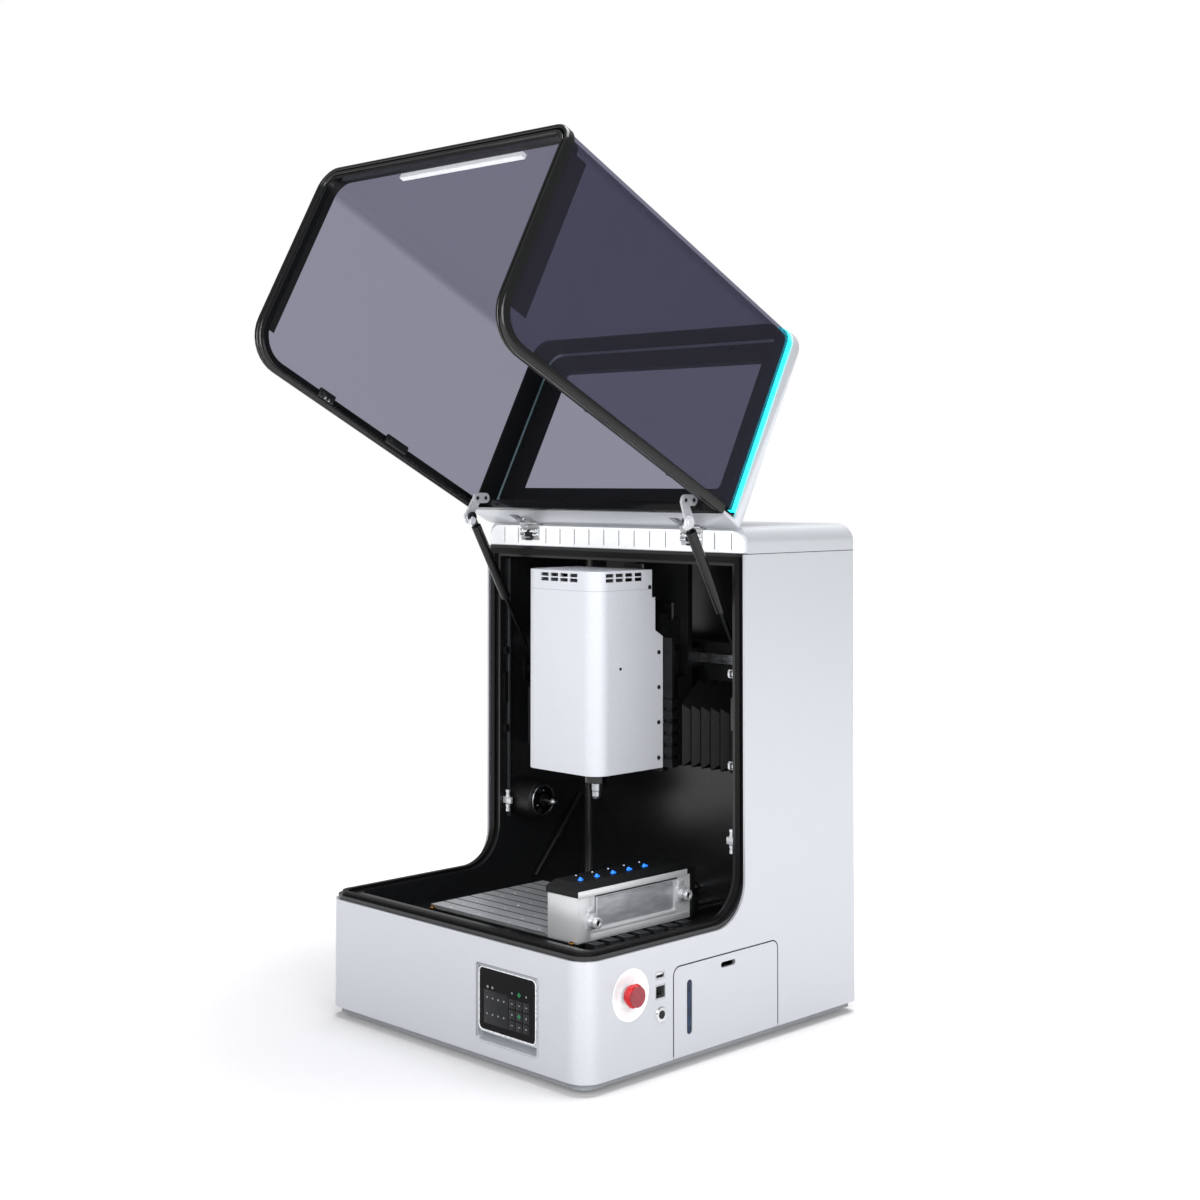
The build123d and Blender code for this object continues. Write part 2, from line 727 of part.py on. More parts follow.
with BuildPart() as x_carriage:
    block(carriage_x, plate_y, tower_z)
    for side in (-1, 1):
        cheek_mid = head_cx + side * (carriage_half_w - cheek_t / 2)
        block(about(cheek_mid, cheek_t / 2), (cheek_y, plate_y[0]), (tower_z[0], cheek_top))
    block(carriage_x, (cheek_y, plate_y[0]), (tower_z[0], tower_z[0] + cheek_t))
    block(about(head_cx, motor_w / 2 + 6), (z_screw_y - motor_w / 2, plate_y[0]), z_shelf_z)
    for z in x_rail_z:
        for side in (-1, 1):
            shoe = about(head_cx + side * shoe_x, shoe_half)
            block(shoe, (plate_y[1], x_rail_face - 1), about(z, rail_w))
    block(about(head_cx, 14), (plate_y[1], x_screw_y + nut_half), about(x_screw_z, nut_half))
    block(
        about(head_cx, motor_w / 2 + slip),
        (plate_y[0] - 1, plate_y[1] + 1),
        (z_shelf_z[1], z_shelf_z[1] + z_motor_l + 1),
        mode=Mode.SUBTRACT,
    )
    for z in x_rail_z:
        with BuildSketch(x_rail_plane(z)):
            rail_section(shoe_gap)
        extrude(amount=2 * x_rail_half, mode=Mode.SUBTRACT)
    with BuildSketch(Plane.YZ.offset(-chamber_half_w)):
        with Locations((x_screw_y, x_screw_z)):
            Circle(screw_r + running)
    extrude(amount=2 * chamber_half_w, mode=Mode.SUBTRACT)
    with BuildSketch(Plane.XY.offset(tower_z[0] - 1)):
        with Locations((head_cx, z_screw_y)):
            Circle(screw_r + running)
    extrude(amount=z_shelf_z[1] - tower_z[0] + 2, mode=Mode.SUBTRACT)
    for side in (-1, 1):
        with BuildSketch(z_rail_plane(side)):
            rail_section()
        extrude(amount=z_rail_z[1] - z_rail_z[0])
x_carriage.part.label = "x_carriage"
export_step(x_carriage.part, "parts/x_carriage.step")

# Stepper motors: two on the machine, one on the carriage tower
shaft_bore_deep = 10.0
x_motor_x = (-chamber_half_w, -chamber_half_w + 26.0)
y_motor_l = 34.0
y_motor_front = chamber_back + liner_t
with BuildPart() as axis_motors:
    with BuildSketch(Plane.YZ.offset(x_motor_x[0])):
        with Locations((x_screw_y, x_screw_z)):
            RectangleRounded(motor_w - 2 * slip, motor_w - 2 * slip, motor_r)
    extrude(amount=x_motor_x[1] - x_motor_x[0])
    with BuildSketch(Plane.XZ.offset(-y_motor_front)):
        with Locations((0, screw_bore_z)):
            RectangleRounded(motor_w, motor_w, motor_r)
    extrude(amount=-y_motor_l)
    with BuildSketch(Plane.YZ.offset(x_motor_x[1] - shaft_bore_deep)):
        with Locations((x_screw_y, x_screw_z)):
            Circle(screw_end_r + running)
    extrude(amount=shaft_bore_deep + 1, mode=Mode.SUBTRACT)
    with BuildSketch(Plane.XZ.offset(-y_motor_front + 1)):
        with Locations((0, screw_bore_z)):
            Circle(screw_end_r + running)
    extrude(amount=-shaft_bore_deep - 1, mode=Mode.SUBTRACT)
axis_motors.part.label = "axis_motors"
export_step(axis_motors.part, "parts/axis_motors.step")

with BuildPart() as z_motor:
    with BuildSketch(Plane.XY.offset(z_shelf_z[1])):
        with Locations((head_cx, z_screw_y)):
            RectangleRounded(motor_w, motor_w, motor_r)
            Circle(screw_end_r + running, mode=Mode.SUBTRACT)
    extrude(amount=shaft_bore_deep)
    with BuildSketch(Plane.XY.offset(z_shelf_z[1] + shaft_bore_deep)):
        with Locations((head_cx, z_screw_y)):
            RectangleRounded(motor_w, motor_w, motor_r)
    extrude(amount=z_motor_l - shaft_bore_deep)
z_motor.part.label = "z_motor"
export_step(z_motor.part, "parts/z_motor.step")

# Lead screws, each with a turned-down end in its motor
coupling_l = 14.0
coupling_r = 7.0
x_screw_x = (x_motor_x[1] + slip, chamber_half_w - 1)
with BuildPart() as x_screw:
    for radius, start, length in (
        (screw_end_r, x_motor_x[1] - shaft_bore_deep + 2, shaft_bore_deep),
        (coupling_r, x_screw_x[0], coupling_l),
        (screw_r, x_screw_x[0], x_screw_x[1] - x_screw_x[0]),
    ):
        with BuildSketch(Plane.YZ.offset(start)):
            with Locations((x_screw_y, x_screw_z)):
                Circle(radius)
        extrude(amount=length)
x_screw.part.label = "x_screw"
export_step(x_screw.part, "parts/x_screw.step")

y_screw_front = chamber_front + 12.0
with BuildPart() as y_screw:
    for radius, start, end in (
        (screw_r, y_screw_front, y_motor_front - slip),
        (screw_end_r, y_motor_front - 1, y_motor_front + shaft_bore_deep - 2),
    ):
        with BuildSketch(Plane.XZ.offset(-start)):
            with Locations((0, screw_bore_z)):
                Circle(radius)
        extrude(amount=start - end)
y_screw.part.label = "y_screw"
export_step(y_screw.part, "parts/y_screw.step")

with BuildPart() as z_screw:
    for radius, start, end in (
        (screw_r, tower_z[0] + 1, z_shelf_z[1] - slip),
        (screw_end_r, z_shelf_z[1] - 1, z_shelf_z[1] + shaft_bore_deep - 2),
    ):
        with BuildSketch(Plane.XY.offset(start)):
            with Locations((head_cx, z_screw_y)):
                Circle(radius)
        extrude(amount=end - start)
z_screw.part.label = "z_screw"
export_step(z_screw.part, "parts/z_screw.step")

# Bellows: pleated covers of the cross axis, open at the back towards the beam
bellows_front = beam_y[0] - 50.0
bellows_z = (gantry_z + 8.0, gantry_z + 114.0)
bellows_slope = (31.0, 28.0)
bellows_back = beam_y[0] - face_gap
pleat_pitch = 16.0
pleat_deep = 7.0
pleat_wall = 2.5


def bellows_section(inset, back):
    """Cover section in the side view, with its front upper corner sloped."""
    front = bellows_front + inset
    low, high = bellows_z[0] + inset, bellows_z[1] - inset
    shoulder = high - bellows_slope[1]
    Polygon(
        (front, low),
        (front, shoulder),
        (front + bellows_slope[0], high),
        (back, high),
        (back, low),
        align=None,
    )


with BuildPart() as bellows:
    for x_low, x_high in (
        (-chamber_half_w, carriage_x[0] - face_gap),
        (carriage_x[1] + face_gap, chamber_half_w),
    ):
        folds = round((x_high - x_low) / pleat_pitch)
        step = (x_high - x_low) / (2 * folds)
        for index in range(2 * folds):
            outer_first = index % 2 == 0
            near, far = (0, pleat_deep) if outer_first else (pleat_deep, 0)
            with BuildSketch(Plane.YZ.offset(x_low + index * step)):
                bellows_section(near, bellows_back)
            with BuildSketch(Plane.YZ.offset(x_low + (index + 1) * step)):
                bellows_section(far, bellows_back)
            loft(ruled=True)
        with BuildSketch(Plane.YZ.offset(x_low - 1)):
            bellows_section(pleat_deep + pleat_wall, bellows_back + 1)
        extrude(amount=x_high - x_low + 2, mode=Mode.SUBTRACT)
bellows.part.label = "bellows"
export_step(bellows.part, "parts/bellows.step")

# Head slide: plate with shoes and nut, flanges for the cover, spindle clamps
cover_w = 115.6
cover_y = (plate_y[0] - 152.0, plate_y[0] - 32.0)
cover_z = (gantry_z + 7.0, gantry_z + 256.4)
cover_t = 2.0
cover_r = 22.0
slide_z = (gantry_z + 2.0, gantry_z + 200.0)
slide_t = 10.0
shoe_z = (gantry_z + 136.0, gantry_z + 176.0)
z_nut_z = (gantry_z + 125.0, gantry_z + 150.0)
flange_y_span = (cover_y[1] - 22.0, cover_y[1])
flange_z_span = (cover_z[0] + 5.0, cover_z[0] + 155.0)
spindle_y = sum(cover_y) / 2
spindle_r = 24.0
clamp_z = ((gantry_z + 26.0, gantry_z + 44.0), (gantry_z + 140.0, gantry_z + 158.0))
wing_x = (head_cx + cover_w / 2, head_cx + cover_w / 2 + 15.0)
wing_z = (gantry_z + 95.0, gantry_z + 170.0)
chain_links = 6
chain_pitch = 15.0
slide_back = cover_y[1] + slide_t
inner_half = cover_w / 2 - cover_t
with BuildPart() as head_plate:
    block(about(head_cx, cover_w / 2), (cover_y[1], slide_back), slide_z)
    block((wing_x[0] - 1, wing_x[1]), (cover_y[1] + 1, cover_y[1] + 6), wing_z)
    for side in (-1, 1):
        for z in shoe_z:
            block(
                about(head_cx + side * z_rail_x, shoe_half - 4),
                (slide_back, plate_y[0] - 1),
                about(z, shoe_half - 2),
            )
        flange = about(head_cx + side * (inner_half - cover_t), cover_t)
        block(flange, flange_y_span, flange_z_span)
        with BuildSketch(z_rail_plane(side)):
            rail_section(shoe_gap)
        extrude(amount=z_rail_z[1] - z_rail_z[0], mode=Mode.SUBTRACT)
    block(about(head_cx, 10), (slide_back, z_screw_y + 6.5), z_nut_z)
    with BuildSketch(Plane.XY.offset(z_nut_z[0] - 1)):
        with Locations((head_cx, z_screw_y)):
            Circle(screw_r + running)
    extrude(amount=z_nut_z[1] - z_nut_z[0] + 2, mode=Mode.SUBTRACT)
    for z_span in clamp_z:
        block(about(head_cx, spindle_r + 8), (spindle_y - 8, cover_y[1]), z_span)
        with BuildSketch(Plane.XY.offset(z_span[0] - 1)):
            with Locations((head_cx, spindle_y)):
                Circle(spindle_r + running)
        extrude(amount=z_span[1] - z_span[0] + 2, mode=Mode.SUBTRACT)
    for index in range(chain_links):
        link_z = cover_z[0] + 6 + index * chain_pitch
        block((wing_x[0] - 1, wing_x[1]), (cover_y[1] + 1, cover_y[1] + 12), about(link_z, 5))
    block((wing_x[0] - 1, wing_x[1] - 3), (cover_y[1] + 3, cover_y[1] + 9), (cover_z[0] + 2, wing_z[0] + 1))
head_plate.part.label = "head_plate"
export_step(head_plate.part, "parts/head_plate.step")

# Head cover: folded light-grey sheet, open at the back and below
step_z = (cover_z[1] - 84.4, cover_z[1] - 76.4, cover_z[1] - 34.9)
step_y = (cover_y[1] - 14.0, cover_y[1] - 20.0)
vent_slot = (13.0, 3.4)
vent_step = (17.0, 6.0)
vent_mid_z = cover_z[1] - 8.4
vent_front_x = head_cx - 7.0
vent_side_y = spindle_y - 10.0
with BuildPart() as head_cover:
    with BuildSketch(Plane.XY.offset(cover_z[0])):
        round_rect(about(head_cx, cover_w / 2), (cover_y[0], cover_y[1] + 3 * cover_r), cover_r)
        rect((-body_w, body_w), (cover_y[1], body_d), mode=Mode.SUBTRACT)
    extrude(amount=cover_z[1] - cover_z[0])
    with BuildSketch(Plane.XY.offset(cover_z[0] - 1)):
        inner_r = cover_r - cover_t
        round_rect(about(head_cx, inner_half), (cover_y[0] + cover_t, body_d), inner_r)
    extrude(amount=cover_z[1] - cover_z[0] + 1 - cover_t, mode=Mode.SUBTRACT)
    with BuildSketch(Plane.YZ.offset(-body_w / 2)):
        Polygon(
            (cover_y[1], step_z[0]),
            (step_y[0], step_z[1]),
            (step_y[0], step_z[2]),
            (step_y[1], step_z[2]),
            (step_y[1], cover_z[1] + 1),
            (cover_y[1] + 1, cover_z[1] + 1),
            (cover_y[1] + 1, step_z[0]),
            align=None,
        )
    extrude(amount=body_w, mode=Mode.SUBTRACT)
    with BuildSketch(Plane.XZ.offset(-cover_y[0] + 1)):
        with Locations((vent_front_x, vent_mid_z)):
            with GridLocations(*vent_step, 4, 2):
                Rectangle(*vent_slot)
    extrude(amount=-cover_t - 2, mode=Mode.SUBTRACT)
    with BuildSketch(Plane.YZ.offset(head_cx - cover_w)):
        with Locations((vent_side_y, vent_mid_z)):
            with GridLocations(*vent_step, 4, 2):
                Rectangle(*vent_slot)
    extrude(amount=2 * cover_w, mode=Mode.SUBTRACT)
head_cover.part.label = "head_cover"
export_step(head_cover.part, "parts/head_cover.step")

# Spindle motor in the clamps, and the rotating nose with its collet nut
spindle_top = gantry_z + 200.0
spindle_neck_r = 15.0
neck_z = cover_z[0] - 18.0
nose_r = 6.2
nose_z = neck_z - 20.5
shaft_r = 4.0
with BuildPart() as spindle_motor:
    for radius, low, high in (
        (spindle_r, cover_z[0] + 3, spindle_top),
        (spindle_neck_r, neck_z, cover_z[0] + 3),
    ):
        with BuildSketch(Plane.XY.offset(low)):
            with Locations((head_cx, spindle_y)):
                Circle(radius)
        extrude(amount=high - low)
    with BuildSketch(Plane.XY.offset(neck_z - 1)):
        with Locations((head_cx, spindle_y)):
            Circle(shaft_r + running)
    extrude(amount=16, mode=Mode.SUBTRACT)
spindle_motor.part.label = "spindle_motor"
export_step(spindle_motor.part, "parts/spindle_motor.step")

with BuildPart() as spindle_nose:
    with BuildSketch(Plane.XZ):
        with BuildLine():
            Polyline(
                (2.0, nose_z + 6),
                (2.0, nose_z),
                (4.6, nose_z),
                (5.6, nose_z + 3),
                (5.6, nose_z + 9),
                (nose_r, nose_z + 10),
                (nose_r, neck_z - 2),
                (shaft_r, neck_z - 1),
                (shaft_r, neck_z + 13),
                (0, neck_z + 13),
                (0, nose_z + 6),
                (2.0, nose_z + 6),
            )
        make_face()
    revolve(axis=Axis.Z)
spindle_nose.part = Pos(head_cx, spindle_y, 0) * spindle_nose.part
spindle_nose.part.label = "spindle_nose"
export_step(spindle_nose.part, "parts/spindle_nose.step")

# Moving table: base on shoes and nut, slats with T-slots between them
table_half_w = 128.0
table_y = (-160.0, 35.0)
table_top = 140.0
slat_t = 5.0
slat_count = 9
slot_w = 2.4
slot_under = 5.0
base_t = 4.0
magazine_x = (79.0, table_half_w)
table_shoe_y = (-128.0, 4.0)
table_base_z = (table_top - slat_t - base_t, table_top - slat_t)
with BuildPart() as table_base:
    block((-table_half_w, table_half_w), table_y, table_base_z)
    for x in (-y_rail_x, y_rail_x):
        for y in table_shoe_y:
            block(about(x, 15), about(y, shoe_half), (chamber_floor + 1, table_base_z[0]))
        with BuildSketch(y_rail_plane(x)):
            rail_section(shoe_gap)
        extrude(amount=y_rail_y[1] - y_rail_y[0], mode=Mode.SUBTRACT)
    block(about(0, 13), about(-62, 12), (chamber_floor + 0.6, table_base_z[0]))
    with BuildSketch(Plane.XZ.offset(-table_y[1])):
        with Locations((0, screw_bore_z)):
            Circle(screw_r + running)
    extrude(amount=table_y[1] - table_y[0], mode=Mode.SUBTRACT)
table_base.part.label = "table_base"
export_step(table_base.part, "parts/table_base.step")

slat_pitch = (table_y[1] - table_y[0]) / slat_count
slat_half = (slat_pitch - slot_w) / 2
lip = slat_t / 2
with BuildPart() as table_slats:
    with BuildSketch(Plane.YZ.offset(-table_half_w)):
        for index in range(slat_count):
            mid = table_y[0] + (index + 0.5) * slat_pitch
            foot = slat_half - (slot_under - slot_w)
            rect(about(mid, slat_half), (table_top - lip, table_top))
            rect(about(mid, foot), (table_top - slat_t, table_top - lip))
    extrude(amount=magazine_x[0] - face_gap + table_half_w)
table_slats.part.label = "table_slats"
export_step(table_slats.part, "parts/table_slats.step")

# Tool magazine at the table's right edge
magazine_y = (-157.0, 37.0)
magazine_top = 188.0
recess_y = (-124.0, 10.0)
recess_z = (148.0, 184.0)
recess_deep = 3.0
station_pitch = 27.7
station_count = 5
station_x = 110.0
station_y = -78.0
with BuildPart() as magazine_block:
    block(magazine_x, magazine_y, (table_base_z[1], magazine_top))
    block((magazine_x[1] - recess_deep, magazine_x[1] + 1), recess_y, recess_z, mode=Mode.SUBTRACT)
magazine_block.part.label = "magazine_block"
export_step(magazine_block.part, "parts/magazine_block.step")

lid_t = 15.0
lid_chamfer = 8.0
lid_over = 1.5
cap_l = 8.0
with BuildPart() as magazine_cover:
    block(
        (magazine_x[0] - lid_over, magazine_x[1] + lid_over),
        (magazine_y[0] - lid_over, magazine_y[1] + cap_l),
        (magazine_top, magazine_top + lid_t),
    )
    chamfer(magazine_cover.faces().sort_by(Axis.Z)[-1].edges(), lid_chamfer)
    block(
        (magazine_x[0], magazine_x[1] + lid_over),
        (magazine_y[1], magazine_y[1] + cap_l),
        (magazine_top - 20, magazine_top),
    )
    with BuildSketch(Plane.XY.offset(magazine_top + lid_t)):
        with Locations((station_x, station_y)):
            with GridLocations(0, station_pitch, 1, station_count):
                Circle(4.5)
    extrude(amount=-2, mode=Mode.SUBTRACT)
magazine_cover.part.label = "magazine_cover"
export_step(magazine_cover.part, "parts/magazine_cover.step")

with BuildPart() as magazine_lights:
    with BuildSketch(Plane.XY.offset(magazine_top + lid_t - 2)):
        with Locations((station_x, station_y)):
            with GridLocations(0, station_pitch, 1, station_count):
                Circle(3.5)
    extrude(amount=3, taper=20)
magazine_lights.part.label = "magazine_lights"
export_step(magazine_lights.part, "parts/magazine_lights.step")

fitting_at = ((-136.0, 158.0), (20.0, 166.0))
with BuildPart() as magazine_fittings:
    for y, z in fitting_at:
        for radius, start, length, sides in ((5.5, 0.0, 4.0, 6), (3.6, 4.0, 4.0, 0), (4.6, 8.0, 5.0, 0)):
            with BuildSketch(Plane.YZ.offset(magazine_x[1] + start)):
                with Locations((y, z)):
                    if sides:
                        RegularPolygon(radius, sides)
                    else:
                        Circle(radius)
            extrude(amount=length)
        with BuildSketch(Plane.YZ.offset(magazine_x[1] + 9)):
            with Locations((y, z)):
                Circle(2.4)
        extrude(amount=6, mode=Mode.SUBTRACT)
magazine_fittings.part.label = "magazine_fittings"
export_step(magazine_fittings.part, "parts/magazine_fittings.step")

# Cable chain of the table, lying along its right side
chain_x = (table_half_w + 5.0, table_half_w + 21.0)
chain_y = (-152.0, 26.0)
chain_h = 15.0
chain_count = 7
chain_step = (chain_y[1] - chain_y[0]) / chain_count
with BuildPart() as cable_chain:
    block((chain_x[0] + 2, chain_x[1] - 2), chain_y, (chamber_floor, chamber_floor + chain_h - 5))
    with BuildSketch(Plane.YZ.offset(chain_x[0])):
        for index in range(chain_count):
            y = chain_y[0] + index * chain_step
            Polygon(
                (y + 1, chamber_floor),
                (y + chain_step - 4, chamber_floor),
                (y + chain_step - 6, chamber_floor + chain_h),
                (y + 3, chamber_floor + chain_h),
                align=None,
            )
    extrude(amount=chain_x[1] - chain_x[0])
cable_chain.part.label = "cable_chain"
export_step(cable_chain.part, "parts/cable_chain.step")

# Round hub on the left wall with its ball knob, and the tube below it
hub_y, hub_z = 66.0, chamber_floor + 117 * (gantry_z - chamber_floor) / 179
hub_r = 25.0
hub_x = (-chamber_half_w, -chamber_half_w + 45.0)
knob_stem_r = 2.5
knob_r = 5.0
knob_x = hub_x[1] + 19.0
knob_bore = 10.0
with BuildPart() as wall_hub:
    with BuildSketch(Plane.YZ.offset(hub_x[0])):
        with Locations((hub_y, hub_z)):
            Circle(hub_r)
    extrude(amount=hub_x[1] - hub_x[0])
    fillet(wall_hub.faces().sort_by(Axis.X)[-1].edges(), 5)
    with BuildSketch(Plane.YZ.offset(hub_x[1] - 1)):
        with Locations((hub_y, hub_z)):
            Circle(8)
            with PolarLocations(15, 3):
                Circle(3)
    extrude(amount=4)
    with BuildSketch(Plane.YZ.offset(hub_x[1] + 4 - knob_bore)):
        with Locations((hub_y, hub_z)):
            Circle(knob_stem_r + running)
    extrude(amount=knob_bore + 1, mode=Mode.SUBTRACT)
wall_hub.part.label = "wall_hub"
export_step(wall_hub.part, "parts/wall_hub.step")

with BuildPart() as hub_knob:
    with BuildSketch(Plane.YZ.offset(hub_x[1] + 5 - knob_bore)):
        with Locations((hub_y, hub_z)):
            Circle(knob_stem_r)
    extrude(amount=knob_x - hub_x[1] - 5 + knob_bore)
    with Locations((knob_x, hub_y, hub_z)):
        Sphere(knob_r)
hub_knob.part.label = "hub_knob"
export_step(hub_knob.part, "parts/hub_knob.step")

tube_r = 3.5
tube_top = (chamber_back - 17.0, chamber_floor + 108 * (gantry_z - chamber_floor) / 179)
tube_foot = (90.0, 127.0)
tube_clip_r = 4.8
tube_x = -chamber_half_w + tube_r + 0.6
tube_run = hypot(tube_top[0] - tube_foot[0], tube_top[1] - tube_foot[1])
tube_dir = (0, (tube_top[0] - tube_foot[0]) / tube_run, (tube_top[1] - tube_foot[1]) / tube_run)
tube_plane = Plane((tube_x, *tube_foot), x_dir=(1, 0, 0), z_dir=tube_dir)
with BuildPart() as coolant_tube:
    with BuildSketch(tube_plane):
        Circle(tube_r)
    extrude(amount=tube_run)
    with BuildSketch(tube_plane.offset(tube_run / 2 - 7)):
        with Locations((tube_clip_r - tube_r - 0.6, 0)):
            Circle(tube_clip_r)
    extrude(amount=14)
coolant_tube.part.label = "coolant_tube"
export_step(coolant_tube.part, "parts/coolant_tube.step")

# Clips, pads and catches on the column's inner edges
clip_y = (34.0, 40.4)
clip_t = 4.5
clip_half_h = 4.5
pad_t = 2.5
catch_half_h = 11.0
right_clips = (gantry_z + 248.0, gantry_z + 136.0, gantry_z + 26.0)
left_clips = (gantry_z + 138.0, gantry_z + 33.0)
pad_z = (gantry_z + 68.0, gantry_z + 108.0)
catch_z = base_top + 91.0
with BuildPart() as rim_clips:
    for side, heights in ((1, right_clips), (-1, left_clips)):
        for z in heights:
            span = (chamber_half_w - clip_t, chamber_half_w)
            block(span if side > 0 else mirrored(span), clip_y, about(z, clip_half_h))
        span = (chamber_half_w - pad_t, chamber_half_w)
        block(span if side > 0 else mirrored(span), clip_y, pad_z)
        block(span if side > 0 else mirrored(span), clip_y, about(catch_z, catch_half_h))
        with Locations((side * (chamber_half_w - pad_t - 1), sum(clip_y) / 2, catch_z)):
            Cylinder(3, 1.3 * catch_half_h)
rim_clips.part.label = "rim_clips"
export_step(rim_clips.part, "parts/rim_clips.step")

# Plate on each side wall beside which the lift strut ends
strut_x = chamber_half_w - 15.0
tongue_t = 4.0
eye_r = 6.5
rod_r = 3.0
pivot_r = 3.0
stud_y, stud_z = bellows_front + 0.6, gantry_z + 110.7
link_x = (strut_x + tongue_t / 2 + face_gap, strut_x + tongue_t / 2 + face_gap + 4.0)
stud_face_x = strut_x + rod_r + face_gap
with BuildPart() as strut_studs:
    for side in (-1, 1):
        wall_plate = (chamber_half_w - 3, chamber_half_w)
        block(
            wall_plate if side > 0 else mirrored(wall_plate),
            about(stud_y, 9),
            about(stud_z, 14),
        )
        with BuildSketch(Plane.YZ.offset(side * stud_face_x)):
            with Locations((stud_y, stud_z)):
                Circle(eye_r)
        extrude(amount=side * (chamber_half_w - stud_face_x))
strut_studs.part.label = "strut_studs"
export_step(strut_studs.part, "parts/strut_studs.step")

# Fixed hinge halves: outer knuckles with their pin on a plate in the header
knuckle_r = 2.3
pin_r = 1.2
inner_knuckle = 5.7
outer_knuckle = (6.0, hinge_half_w)
pocket_z = header_mid_z - 6
cup_plate_y = (header_front - 0.6, header_front + hinge_pocket)
with BuildPart() as hinge_cups:
    for side in (-1, 1):
        mid = side * hinge_x
        block(about(mid, hinge_half_w), cup_plate_y, (pocket_z + slip, header_z + header_h))
        for end in (-1, 1):
            near, far = sorted((mid + end * outer_knuckle[0], mid + end * outer_knuckle[1]))
            with BuildSketch(Plane.YZ.offset(near)):
                with Locations((hinge_y, hinge_z)):
                    Circle(knuckle_r)
            extrude(amount=far - near)
            block((near, far), (hinge_y, cup_plate_y[1]), (hinge_z - 5.7, hinge_z))
        with BuildSketch(Plane.YZ.offset(mid - outer_knuckle[0] - 1)):
            with Locations((hinge_y, hinge_z)):
                Circle(pin_r)
        extrude(amount=2 * outer_knuckle[0] + 2)
hinge_cups.part.label = "hinge_cups"
export_step(hinge_cups.part, "parts/hinge_cups.step")


def swung_open(part):
    """Turn a hood piece from its closed place to the open one."""
    return part.rotate(Axis((0, hinge_y, hinge_z), (1, 0, 0)), -hood_open)


def hood_plan(inset):
    """Plan outline of the hood, rounded in front and running on at the back."""
    round_rect(about(0, hood_half_w - inset), (front_face + inset, body_d), hood_front_r - inset)


def hood_side(inset):
    """Side outline of the hood, with its rounded lower corner."""
    step_space(hood_y - inset, hood_z + inset, hood_corner_r - inset)


# Hood rim: black frame round the hood's open bottom and back
rim_w = 15.0
rim_deep = 12.0
rim_top = seam_z - 6.0
rim_bar_z = rim_top - 7.0
with BuildPart() as hood_rim:
    with BuildSketch(Plane.XY.offset(hood_z)):
        hood_plan(0)
    extrude(amount=rim_top - hood_z)
    with BuildSketch(Plane.YZ):
        hood_side(0)
    extrude(amount=body_w, both=True, mode=Mode.INTERSECT)
    with BuildSketch(Plane.YZ):
        hood_side(rim_deep)
    extrude(amount=body_w, both=True, mode=Mode.SUBTRACT)
    with BuildSketch(Plane.XY.offset(hood_z - 1)):
        hood_plan(rim_w)
    extrude(amount=rim_bar_z - hood_z + 1, mode=Mode.SUBTRACT)
hood_rim.part = swung_open(hood_rim.part)
hood_rim.part.label = "hood_rim"
export_step(hood_rim.part, "parts/hood_rim.step")

# Hood glazing: one clear pane bent round the front corners
pane_inset = 2.5
pane_t = 4.0
pane_top = seam_z + 8.0
with BuildPart() as hood_glass:
    with BuildSketch(Plane.XY.offset(hood_z)):
        hood_plan(pane_inset)
    extrude(amount=pane_top - hood_z)
    with BuildSketch(Plane.XY.offset(hood_z - 1)):
        hood_plan(pane_inset + pane_t)
    extrude(amount=pane_top - hood_z + 2, mode=Mode.SUBTRACT)
    with BuildSketch(Plane.YZ):
        hood_side(rim_deep)
    extrude(amount=body_w, both=True, mode=Mode.INTERSECT)
hood_glass.part = swung_open(hood_glass.part)
hood_glass.part.label = "hood_glass"
export_step(hood_glass.part, "parts/hood_glass.step")

# Light strip between pane and roof
cap_z = pane_top + 7.0
strip_inset = 2.0
strip_t = 7.0
strip_back = hood_y - rim_deep
with BuildPart() as light_strip:
    with BuildSketch(Plane.XY.offset(pane_top)):
        hood_plan(strip_inset)
        rect((-body_w, body_w), (strip_back, body_d + 1), mode=Mode.SUBTRACT)
    extrude(amount=cap_z - pane_top)
    with BuildSketch(Plane.XY.offset(pane_top - 1)):
        hood_plan(strip_inset + strip_t)
    extrude(amount=cap_z - pane_top + 2, mode=Mode.SUBTRACT)
light_strip.part = swung_open(light_strip.part)
light_strip.part.label = "light_strip"
export_step(light_strip.part, "parts/light_strip.step")

# Roof cap: silver cap with a rounded edge, a large window and a back plate
cap_skin = 3.0
cap_edge_r = 8.0
back_plate_t = 4.5
window_x = hood_half_w - 40.4
window_y = (front_face + 33.0, hood_y - 41.0)
window_r = 13.0
cap_notch_half = 18.0
cap_notch_y = 12.0
cap_notch_z = body_h - 10.0
with BuildPart() as roof_cap:
    with BuildSketch(Plane.XY.offset(cap_z)):
        hood_plan(0)
    extrude(amount=body_h - cap_z)
    fillet(roof_cap.faces().sort_by(Axis.Z)[-1].edges(), cap_edge_r)
    block((-body_w, body_w), (hood_y, body_d + 1), (cap_z - 1, body_h + 1), mode=Mode.SUBTRACT)
    with BuildSketch(Plane.XY.offset(cap_z - 1)):
        hood_plan(cap_skin)
        rect((-body_w, body_w), (hood_y - back_plate_t, body_d + 1), mode=Mode.SUBTRACT)
    extrude(amount=body_h - cap_skin - cap_z + 1, mode=Mode.SUBTRACT)
    block(about(0, hood_half_w), (hood_y - back_plate_t, hood_y), (rim_top, cap_z))
    with BuildSketch(Plane.XY.offset(cap_z)):
        round_rect(about(0, window_x), window_y, window_r)
    extrude(amount=body_h - cap_z + 1, mode=Mode.SUBTRACT)
    for side in (-1, 1):
        block(
            about(side * hinge_x, cap_notch_half),
            (cap_notch_y, hood_y + 1),
            (cap_notch_z, body_h + 1),
            mode=Mode.SUBTRACT,
        )
roof_cap.part = swung_open(roof_cap.part)
